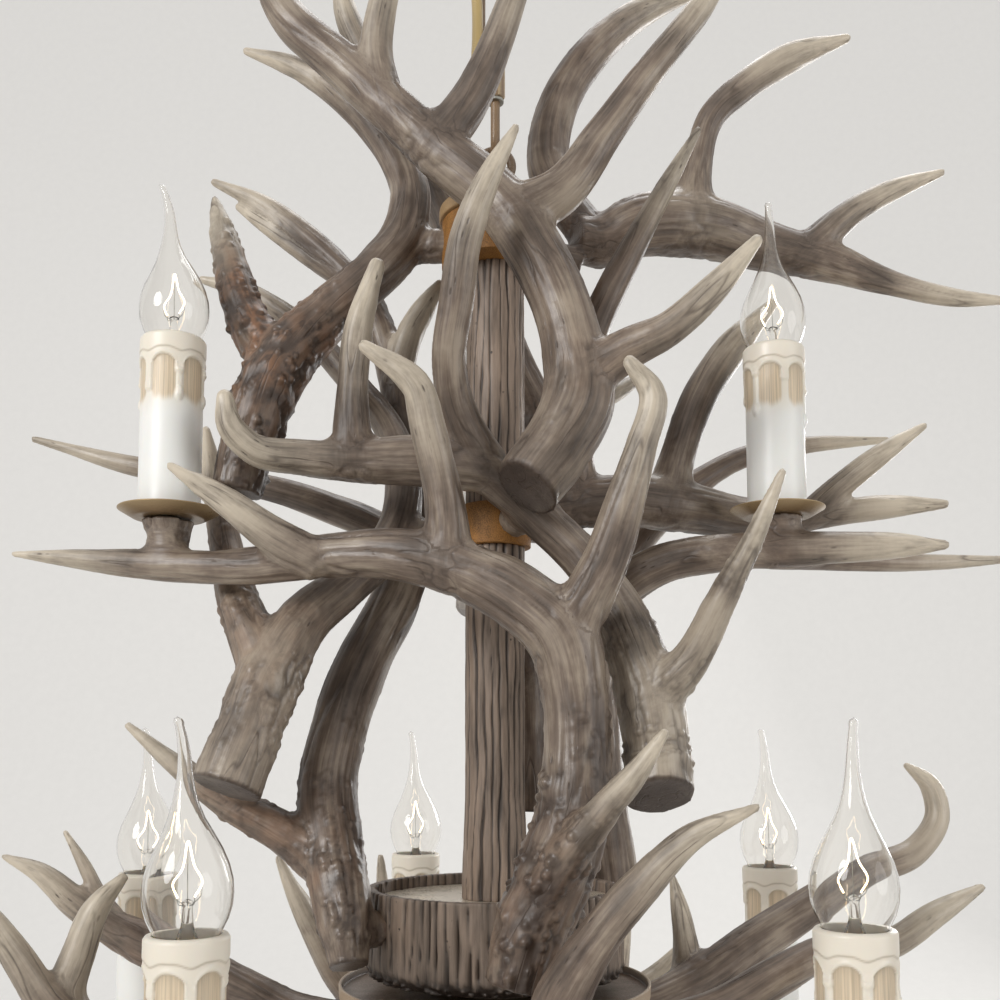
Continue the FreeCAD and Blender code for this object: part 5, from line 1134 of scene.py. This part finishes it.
class ChandelierCord(bpy.types.Operator):
    """Hangs the supply cord beside the chain, in four lengths parted where it passes the chain's hinges."""
    bl_idname = "chandelier.cord"
    bl_label = "Supply cord"

    def execute(self, context):
        curve = bpy.data.curves.new("cord_line", "CURVE")
        curve.dimensions = "3D"
        curve.resolution_u = 24
        spline = curve.splines.new("NURBS")
        spline.points.add(len(CORD_ROUTE) - 1)
        for point, place in zip(spline.points, CORD_ROUTE):
            point.co = (place[0] * MM, place[1] * MM, place[2] * MM, 1)
        spline.order_u = 3
        spline.use_endpoint_u = True
        line = bpy.data.objects.new("cord_line", curve)
        bpy.context.scene.collection.objects.link(line)
        bpy.context.view_layer.update()
        drawn_line = bpy.data.meshes.new_from_object(line.evaluated_get(bpy.context.evaluated_depsgraph_get()))
        places = np.array([vertex.co[:] for vertex in drawn_line.vertices])
        bpy.data.objects.remove(line)
        if places[0, 2] < places[-1, 2]:
            places = places[::-1]

        finish = clear_cord_jacket(context.scene.chandelier_colours)
        marks = [0] + [int(np.abs(places[:, 2] - height).argmin()) for height in HINGE_HEIGHTS] + [len(places) - 1]
        for number in range(4):
            stretch = places[marks[number]:marks[number + 1] + 1]
            piece = tube("supply_cord_%d" % (number + 1), [(stretch, CORD_RADIUS)], sides=6)
            nodes = ["supply_cord"] if number == 0 else []
            select(piece)
            bpy.ops.object.shade_smooth_by_angle(angle=math.radians(40))
            piece.data.materials.append(finish)
            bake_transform(piece)
            if nodes:
                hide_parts(*nodes)
        return {"FINISHED"}


# ---------------------------------------------------------------- column, drum and plates

def barked(piece, wide, count, depth, seed, edge_band=0.0):
    """Presses grooves down a spun sleeve: broad rounded ridges with narrow wavering grooves between them."""
    places = points_of(piece)
    angle = np.arctan2(places[:, 1], places[:, 0])
    radius = np.hypot(places[:, 0], places[:, 1])
    height = places[:, 2]
    around = np.stack([np.cos(angle), np.sin(angle)], axis=1) * wide

    def waves(across, along, shift):
        return rippled(np.column_stack([around / (across * MM), height / (along * MM)]) + shift * seed)

    turn = angle * count / 2 + 1.7 * waves(22, 120, 1) + 1.3 * waves(9, 50, 2) + 0.7 * waves(5, 20, 3)
    deep = np.clip(0.48 + 0.6 * waves(7, 40, 4), 0.06, 0.9)
    groove = np.clip(1 - np.abs(np.sin(turn)) / deep, 0, 1) ** 1.2
    lump = rippled(np.column_stack([around / (5 * MM), height / (9 * MM)]) + 5 * seed)
    on_side = (radius > 0.82 * wide)
    rise = -depth * groove * np.clip(deep / 0.5, 0.4, 1.2) + 0.2 * depth * lump
    if edge_band:
        # A crust of beads along the lower edge.
        low = height.min()
        crust = eased(height - low, edge_band, 0.25 * edge_band)
        beads = np.array([1 - min(1.0, noise.voronoi(place)[0][0] / 0.55) ** 2
                          for place in (places / (3.2 * MM)).tolist()])
        rise = rise * (1 - 0.8 * crust) + crust * (1.5 * beads - 0.9) * depth
        groove = groove * (1 - crust) + crust * np.clip(1 - 0.8 * beads, 0, 1)
    rise = rise * on_side
    scale = (radius + rise) / np.maximum(radius, 1e-9)
    places[:, 0] *= scale
    places[:, 1] *= scale
    move_points(piece, places)
    paint(piece, "groove", np.clip(1.7 * groove * on_side, 0, 0.92))


class ChandelierColumn(bpy.types.Operator):
    """Makes the hubs and the bark sleeves that cover the pipe."""
    bl_idname = "chandelier.column"
    bl_label = "Column"

    def execute(self, context):
        sizes, colours = context.scene.chandelier_sizes, context.scene.chandelier_colours
        lid_paint = brushed_on_paint("tan_lid_paint", colours.lid_paint, 0.12, 0.5)
        hub_paint = brushed_on_paint("mustard_suede_paint", colours.hub_paint, 0.4, 0.62, grain=1900.0)
        bark = bark_resin("cast_column_bark", colours.bark_pale, colours.bark_dark, 7 * MM)

        low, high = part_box("hub_lid")
        lid = [(0, high[2]), (high[0], high[2]), (high[0], low[2]), (0, low[2])]
        turned("turned_hub_lid", lid, 1.2 * MM, lid_paint, "hub_paint", "hub_lid", steps=96)
        for node, steps in (("hub", 96), ("middle_hub", 72)):
            low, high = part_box(node)
            # A small rebate, a real step in the form, runs round the hub's top edge.
            shadow_line = 0.8 * MM
            side = [(0, high[2]), (high[0] - shadow_line, high[2]), (high[0] - shadow_line, high[2] - shadow_line),
                    (high[0], high[2] - shadow_line), (high[0], low[2]), (0, low[2])]
            turned("turned_" + node, side, 0.5 * MM, hub_paint, "hub_paint", node, steps=steps)

        for node, flare in (("bark_sleeve_upper", 0.0), ("bark_sleeve_lower", 1.5 * MM)):
            low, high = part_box(node)
            side = [(6 * MM, high[2]), (BARK_RADIUS, high[2]), (BARK_RADIUS, low[2] + 50 * MM),
                    (BARK_RADIUS + flare, low[2]), (6 * MM, low[2])]
            piece = spun("cast_" + node, eased_profile(side, 0.6 * MM, 1.6 * MM), steps=168)
            count = round(2 * math.pi * BARK_RADIUS / sizes.bark_spacing)
            barked(piece, BARK_RADIUS, count, sizes.bark_depth, 2.0 + flare / MM)
            settle(piece, HANGING, bark, "bark_resin", node, smooth=0)
            bpy.ops.object.shade_smooth()
        return {"FINISHED"}


class ChandelierDrum(bpy.types.Operator):
    """Makes the bark drum, its top plate, the base plate, the lower hub and the finial nut."""
    bl_idname = "chandelier.drum"
    bl_label = "Drum and base plate"

    def execute(self, context):
        sizes, colours = context.scene.chandelier_sizes, context.scene.chandelier_colours
        bark = bark_resin("cast_drum_bark", shade(colours.bark_pale, 0.82), colours.bark_dark, 5.5 * MM)
        pale_metal = brushed_on_paint("satin_plate_lacquer", linear("#d8ccba"), 0.08, 0.28, metal=0.3)
        plate_paint = brushed_on_paint("brown_plate_paint", linear("#6b5748"), 0.22, 0.4,
                                       worn=linear("#a8937b"))
        hub_paint = brushed_on_paint("brown_hub_paint", linear("#5a4331"), 0.3, 0.5)

        low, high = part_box("drum")
        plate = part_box("drum_plate")
        wide, wall = high[0], 8 * MM
        side = [(8 * MM, low[2]), (wide - 2.5 * MM, low[2]), (wide, low[2] + 3 * MM), (wide, high[2]),
                (wide - wall / 2, high[2]), (wide - wall / 2, plate[0][2]), (wide - wall, plate[0][2]),
                (wide - wall, low[2] + 5 * MM), (8 * MM, low[2] + 5 * MM)]
        drum = spun("cast_bark_drum", eased_profile(side, 0.9 * MM, 1.3 * MM), steps=340)
        barked(drum, wide, round(2 * math.pi * wide / sizes.drum_spacing), sizes.drum_depth, 4.0, 8 * MM)
        settle(drum, HANGING, bark, "bark_resin", "drum", smooth=0)
        bpy.ops.object.shade_smooth_by_angle(angle=math.radians(60))

        low, high = plate
        top = [(6 * MM, high[2]), (high[0], high[2]), (high[0], low[2]), (6 * MM, low[2])]
        turned("drum_top_plate", top, 0.6 * MM, pale_metal, "plate_paint", "drum_plate", steps=128)

        low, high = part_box("base_plate")
        under = low[2]
        wide = high[0]
        side = [(6 * MM, under), (wide - 0.4 * MM, under), (wide, under + 7 * MM), (wide - 1.5 * MM, under + 7 * MM),
                (wide - 1.9 * MM, under + 3 * MM), (30 * MM, under + 3 * MM), (30 * MM, high[2]),
                (6 * MM, high[2])]
        plate = spun("rimmed_base_plate", eased_profile(side, 0.7 * MM), steps=160, closed=True)
        places = points_of(plate)
        paint(plate, "edge", (np.hypot(places[:, 0], places[:, 1]) > wide - 1.6 * MM).astype(float))
        settle(plate, HANGING, plate_paint, "plate_paint", "base_plate", smooth=35)

        low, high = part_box("lower_hub")
        side = [(0, high[2]), (high[0], high[2]), (high[0], low[2]), (0, low[2])]
        turned("turned_lower_hub", side, 2 * MM, hub_paint, "hub_paint", "lower_hub", steps=96)
        low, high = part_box("finial_nut")
        wide, tall = high[0], high[2] - low[2]
        dome = [(0, high[2]), (wide, high[2]), (wide, high[2] - 0.2 * tall), (0.85 * wide, high[2] - 0.6 * tall),
                (0.4 * wide, low[2] + 0.02 * tall), (0, low[2])]
        turned("domed_finial_nut", dome, 2 * MM, hub_paint, "hub_paint", "finial_nut")
        return {"FINISHED"}


# ---------------------------------------------------------------- candles and bulbs

def drip_sleeve(name, foot, tall, rise, seed):
    """A candle sleeve: a cream collar, six arches of dripped wax with recessed panels between the drips, and a plain
    tube below."""
    top = foot.z + tall
    rows = [top - k * 0.6 * MM for k in range(82)] + list(np.linspace(top - 49.5 * MM, foot.z, 6))
    outline = [(SLEEVE_BORE, foot.z), (SLEEVE_BORE, top)] + [(SLEEVE_RADIUS, row) for row in rows]
    piece = spun(name, outline, (foot.x, foot.y), 168, closed=True)
    places = points_of(piece)
    gap = places - np.array(foot)
    angle = np.arctan2(gap[:, 1], gap[:, 0]) + 0.4 * seed
    down = (top - places[:, 2]) / MM
    outside = np.hypot(gap[:, 0], gap[:, 1]) > 14.5 * MM
    wave = rippled(np.column_stack([np.cos(angle), np.sin(angle), np.full(len(angle), 1.0)]) * 1.7 + seed)
    turn = angle * 6 / (2 * math.pi) + 0.06 * wave
    drip = np.floor(turn + 0.5).astype(int)
    # The drip's middle is where across is nothing, and the arch's middle is half a pitch away.
    across = np.abs(((turn + 0.5) % 1) - 0.5) * DRIP_PITCH
    from_arch = DRIP_PITCH / 2 - across
    arch = ARCH_TOP + 6.0 * (1 - np.sqrt(np.clip(1 - (from_arch / ARCH_HALF) ** 2, 0, 1)))
    ends = np.array(DRIP_ENDS[seed % 2])[drip % 6]
    runs = np.array(RUN_ENDS[seed % 2])[drip % 6]
    ragged = rippled(np.column_stack([np.cos(angle) * 5, np.sin(angle) * 5, down * 0]) + 2 * seed)
    bottom = PANEL_END - 3.5 * (from_arch / ARCH_HALF) ** 2 + 2.5 * ragged
    in_panel = eased(across, 1.7, 2.5) * eased(down - arch, -0.3, 0.6) * eased(bottom - down, -2.5, 2.5)
    scallop = COLLAR_EDGE + 1.7 * (0.5 + 0.5 * np.cos(2 * math.pi * turn)) ** 2
    collar = eased(scallop - down, -0.4, 0.4)
    wax = np.maximum(eased(arch - down, -0.5, 0.4), eased(2.3 - across, -0.3, 0.6) * eased(ends - down, -0.8, 1.2))
    bead = np.sqrt(np.clip(1 - (across / 2.7) ** 2 - ((down - ends + 2.2) / 3.4) ** 2, 0, 1))
    stream = eased(1.5 - across, -0.4, 0.6) * (down > ends - 2) * eased(runs - down, -0.6, 1.0) * 0.65
    drop = np.sqrt(np.clip(1 - (across / 2.4) ** 2 - ((down - runs + 1.5) / 3.6) ** 2, 0, 1)) * (runs > 0)
    lip = np.exp(-((down - arch + 0.8) / 0.8) ** 2) * (across > 1.2)
    rib = np.exp(-((across - 1.7) / 0.7) ** 2) * (down > arch) * eased(ends - down, -0.8, 1.2)
    height = 0.75 * wax + 0.35 * collar + 0.4 * bead + stream + 1.15 * drop + 0.4 * lip + 0.2 * rib - 0.2 * in_panel
    height = height * np.where(down < 1.4, eased(down, -0.3, 1.4), 1) * rise
    radius = np.hypot(gap[:, 0], gap[:, 1])
    scale = (radius + height * MM * outside) / radius
    places[:, 0] = foot.x + gap[:, 0] * scale
    places[:, 1] = foot.y + gap[:, 1] * scale
    move_points(piece, places)
    panel = np.clip(in_panel * (1 - wax) * (1 - bead) * outside, 0, 1)
    paint(piece, "panel", panel)
    # Painted shade at the top of each panel under its wax arch, and beside the drips.
    paint(piece, "arch_shade", np.clip(0.75 * np.exp(-(down - arch) / 2.2) + 0.4 * np.exp(-(across - 2) / 0.7), 0, 0.8))
    paint(piece, "cream", 0.9 * eased(40 - down - 5 * wave, -4, 14))
    # A painted shadow line just under the collar's scalloped edge.
    paint(piece, "shadow_line", np.clip(0.65 * np.exp(-((down - scallop) / 0.45) ** 2) * outside, 0, 1))
    return piece


class ChandelierCandles(bpy.types.Operator):
    """Makes the candle sleeves, their saucers and the lamp holders inside them."""
    bl_idname = "chandelier.candles"
    bl_label = "Candles"

    def execute(self, context):
        sizes, colours = context.scene.chandelier_sizes, context.scene.chandelier_colours
        wax = dipped_wax(colours)
        saucer_paint = brushed_on_paint("spun_saucer_bronze", colours.saucer_paint, 0.16, 0.34, metal=0.35,
                                        worn=linear("#a68f6b"))
        white = moulded_plastic("white_thermoplastic", linear("#dedcd6"), 0.4)
        saucers, holders = [], []
        for seed, name in enumerate(CANDLES):
            foot = candle_foot(name)
            low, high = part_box(name + "_sleeve")
            tall = high[2] - low[2]
            sleeve = drip_sleeve(name + "_dripped", foot, tall, sizes.wax_rise / MM, seed)
            settle(sleeve, HANGING, wax, "candle_sleeve", name + "_sleeve", smooth=0)
            bpy.ops.object.shade_smooth_by_angle(angle=math.radians(55))
            floor, lip, wide = foot.z, foot.z + 3 * MM, SAUCER_RADIUS
            dish = [(0, floor - 2 * MM), (0.7 * wide, floor - 2 * MM), (wide, lip - 0.6 * MM), (wide - 0.3 * MM, lip),
                    (0.72 * wide, floor), (0, floor)]
            saucers.append(spun(name + "_dish", eased_profile(dish, 0.9 * MM), (foot.x, foot.y), 72))
            edge = np.hypot(*(points_of(saucers[-1])[:, :2] - np.array(foot)[:2]).T) > wide - 0.9 * MM
            paint(saucers[-1], "edge", edge.astype(float))
            post = [(0, floor + 0.1 * MM), (12.4 * MM, floor + 0.1 * MM), (12.4 * MM, floor + 78 * MM),
                    (7.4 * MM, floor + 78 * MM), (7.4 * MM, floor + 56 * MM), (0, floor + 56 * MM)]
            holders.append(spun(name + "_holder", eased_profile(post, 0.6 * MM), (foot.x, foot.y), 40))
        settle(joined("spun_saucers", saucers), HANGING, saucer_paint, "saucer_paint", "candle_saucers", smooth=40)
        settle(joined("moulded_lamp_holders", holders), HANGING, white, "white_plastic", "lamp_holders", smooth=40)
        return {"FINISHED"}


def lamp_threads(low, high):
    """A brass screw cap: a wound thread of three turns between plain rims."""
    outline = []
    for k in range(49):
        height = low + (high - low) * k / 48
        thread = 0.45 * MM * math.sin(2 * math.pi * k / 9) if 6 < k < 42 else 0
        outline.append((6.5 * MM + thread, height))
    return [(0, low)] + outline + [(0, high)]


class ChandelierBulbs(bpy.types.Operator):
    """Makes the clear flame-tip bulbs, each with its cap, stem, supports and glowing coil."""
    bl_idname = "chandelier.bulbs"
    bl_label = "Bulbs"

    def execute(self, context):
        sizes, colours = context.scene.chandelier_sizes, context.scene.chandelier_colours
        colours_glow = lamp_glow(colours)
        glass, brass, wire = blown_glass(), lamp_brass(), plain_zinc()
        for name, (lean_x, lean_y) in CANDLES.items():
            foot = candle_foot(name)
            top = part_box(name + "_sleeve")[1][2]
            axis = (foot.x, foot.y)
            profile = [(radius * MM, top + share * BULB_TALL) for share, radius in GLASS]
            shell = spun(name + "_glass", profile, axis, 48)
            modify(shell, "SOLIDIFY", thickness=sizes.glass_wall, offset=-1)
            places = points_of(shell)
            share = np.clip(((places[:, 2] - top) / BULB_TALL - TIP_START) / (1 - TIP_START), 0, 1)
            bow = share ** 1.4 + 0.14 * np.sin(share * 2 * math.pi)
            places[:, 0] += lean_x * MM * bow
            places[:, 1] -= lean_y * MM * bow
            move_points(shell, places)
            settle(shell, name + "_bulb", glass, "bulb_glass", name + "_bulb", smooth=0)
            bpy.ops.object.shade_smooth()

            stem = [(0, top - 9 * MM), (7.5 * MM, top - 9 * MM), (5 * MM, top - 4 * MM), (2.4 * MM, top + 3 * MM),
                    (1.9 * MM, top + 10 * MM), (2.6 * MM, top + 12 * MM), (0, top + 13.4 * MM)]
            settle(spun(name + "_stem", eased_profile(stem, 1.5 * MM), axis, 32), name + "_bulb", glass,
                   "bulb_glass", smooth=60)
            cap = spun(name + "_cap", lamp_threads(top - 33.6 * MM, top - 9.6 * MM), axis, 48)
            settle(cap, name + "_bulb", brass, "bulb_glass", smooth=40)
            # Supports fan out from the stem, and the coil climbs to a point between them like a flame.
            hooks = [(-4, 13.5), (-6, 18.5), (-2.6, 24), (-0.4, 35), (2.2, 26), (5.4, 19.5), (2.6, 14)]
            facing = 0.5 * math.sin(2.4 * foot.x / (30 * MM))
            places = [Vector((foot.x + x * math.cos(facing) * MM, foot.y + x * math.sin(facing) * MM, top + z * MM))
                      for x, z in hooks]
            supports = []
            for place in (places[0], places[1], places[3], places[5], places[6]):
                base = Vector((foot.x + (place.x - foot.x) * 0.2, foot.y, top + 11 * MM))
                bend = base.lerp(place, 0.55) + Vector(((place.x - foot.x) * 0.25, 0, -1.5 * MM))
                line = flowing([(*base, 1), (*bend, 1), (*place, 1)], 1 * MM)[:, :3]
                supports.append((line, 0.16 * MM))
            settle(tube(name + "_supports", supports, sides=2), name + "_bulb", wire, "bulb_glass", smooth=60)
            coil = flowing([(*place, 1) for place in places], 0.8 * MM)[:, :3]
            glowing = settle(tube(name + "_coil", [(coil, sizes.filament_wire)], sides=3), name + "_bulb",
                             colours_glow, "bulb_glass", smooth=60)
            glowing.visible_diffuse = False
        return {"FINISHED"}


# ---------------------------------------------------------------- stage

def seen_rays(tree):
    """Is one for the rays in which a background is seen, straight, in gloss or through glass."""
    rays = add(tree, "LightPath").outputs
    seen = add(tree, "Math", {0: rays["Is Camera Ray"], 1: rays["Is Glossy Ray"]}, operation="MAXIMUM")
    return add(tree, "Math", {0: seen, 1: rays["Is Transmission Ray"]}, operation="MAXIMUM")


class ChandelierStage(bpy.types.Operator):
    """Sets the camera, the pale floor and backdrop, and the soft lights."""
    bl_idname = "chandelier.stage"
    bl_label = "Stage"

    def execute(self, context):
        scene = context.scene
        scene.view_settings.view_transform = "Standard"
        lens = bpy.data.cameras.new("viewpoint")
        lens.lens, lens.sensor_width, lens.shift_y = LENS, SENSOR, LENS_SHIFT
        lens.clip_start, lens.clip_end = 0.02, 20
        camera = bpy.data.objects.new("viewpoint", lens)
        camera.location = CAMERA_PLACE
        camera.rotation_euler = (math.radians(90 + CAMERA_TILT), 0, 0)
        scene.collection.objects.link(camera)
        scene.camera = camera

        low, high = CAD_BOX
        floor = low[2] - 0.35
        sweep = [(-3.2, floor), (1.3, floor), (1.75, floor + 0.12), (1.95, floor + 0.5), (2.0, floor + 1.2),
                 (2.0, floor + 3.4)]
        sweep = eased_profile(sweep, 0.4, 0.2)
        backdrop = drawn("pale_sweep", [(-3.5, y, z) for y, z in sweep])
        select(backdrop)
        bpy.ops.object.mode_set(mode="EDIT")
        bpy.ops.mesh.select_all(action="SELECT")
        bpy.ops.mesh.extrude_region_move(TRANSFORM_OT_translate={"value": (7, 0, 0)})
        weld()
        bpy.ops.object.shade_smooth()
        finish, tree, place = new_finish("pale_paper_sweep")
        fibre = add(tree, "TexNoise", {"Vector": place, "Scale": 60.0, "Detail": 4.0})
        paper = add(tree, "ValToRGB", {"Fac": fibre}, [(0.3, linear("#dcdad6")), (0.7, linear("#e2e0dc"))])
        shader = add(tree, "BsdfPrincipled", {"Base Color": paper, "Roughness": 0.9})
        # What the camera, gloss and glass see of the paper is made paler, and keeps part of the shadows.
        share = add(tree, "Math", {0: seen_rays(tree), 1: 0.6}, operation="MULTIPLY")
        pale = add(tree, "Emission", {"Color": linear("#efedea"), "Strength": 1.0})
        shader = add(tree, "MixShader", {0: share, 1: shader, 2: pale})
        add(tree, "OutputMaterial", {"Surface": shader})
        backdrop.data.materials.append(finish)

        world = bpy.data.worlds.new("pale_room")
        world.use_nodes = True
        world.node_tree.nodes.clear()
        room = add(world.node_tree, "Background", {"Color": linear("#f2f1ef"), "Strength": 0.42})
        pale = add(world.node_tree, "Background", {"Color": linear("#e6e5e2"), "Strength": 1.0})
        both = add(world.node_tree, "MixShader", {0: seen_rays(world.node_tree), 1: room, 2: pale})
        add(world.node_tree, "OutputWorld", {"Surface": both})
        scene.world = world
        middle = Vector((0, 0, (low[2] + high[2]) / 2))
        for name, (place, width, power) in LAMPS.items():
            light = bpy.data.lights.new(name, "AREA")
            light.shape, light.size, light.energy = "DISK", width, power
            lamp = bpy.data.objects.new(name, light)
            lamp.location = middle + Vector(place)
            lamp.rotation_euler = (middle - lamp.location).to_track_quat("-Z", "Y").to_euler()
            lamp.visible_transmission = False
            scene.collection.objects.link(lamp)
        return {"FINISHED"}


class ChandelierPanel(bpy.types.Panel):
    """Lists the steps that make the chandelier."""
    bl_idname = "VIEW3D_PT_chandelier"
    bl_label = "Antler chandelier"
    bl_space_type = "VIEW_3D"
    bl_region_type = "UI"
    bl_category = "Chandelier"

    def draw(self, context):
        for step in STEPS:
            self.layout.operator(step.bl_idname)
        for group in (context.scene.chandelier_sizes, context.scene.chandelier_colours):
            for name in group.bl_rna.properties.keys():
                if name not in ("name", "rna_type"):
                    self.layout.prop(group, name)


STEPS = (ChandelierStage, ChandelierCord, ChandelierFitting, ChandelierChain, ChandelierColumn, ChandelierDrum,
         ChandelierAntlers, ChandelierCandles, ChandelierBulbs)
CLASSES = (ChandelierSizes, ChandelierColours) + STEPS + (ChandelierPanel,)


def register():
    for item in CLASSES:
        bpy.utils.register_class(item)
    bpy.types.Scene.chandelier_sizes = bpy.props.PointerProperty(type=ChandelierSizes)
    bpy.types.Scene.chandelier_colours = bpy.props.PointerProperty(type=ChandelierColours)


def unregister():
    del bpy.types.Scene.chandelier_sizes
    del bpy.types.Scene.chandelier_colours
    for item in reversed(CLASSES):
        bpy.utils.unregister_class(item)


def main():
    register()
    bpy.ops.chandelier.stage()
    bpy.ops.chandelier.cord()
    bpy.ops.chandelier.fitting()
    bpy.ops.chandelier.chain()
    bpy.ops.chandelier.column()
    bpy.ops.chandelier.drum()
    bpy.ops.chandelier.antlers()
    bpy.ops.chandelier.candles()
    bpy.ops.chandelier.bulbs()
    deselect()


if __name__ == "__main__":
    main()
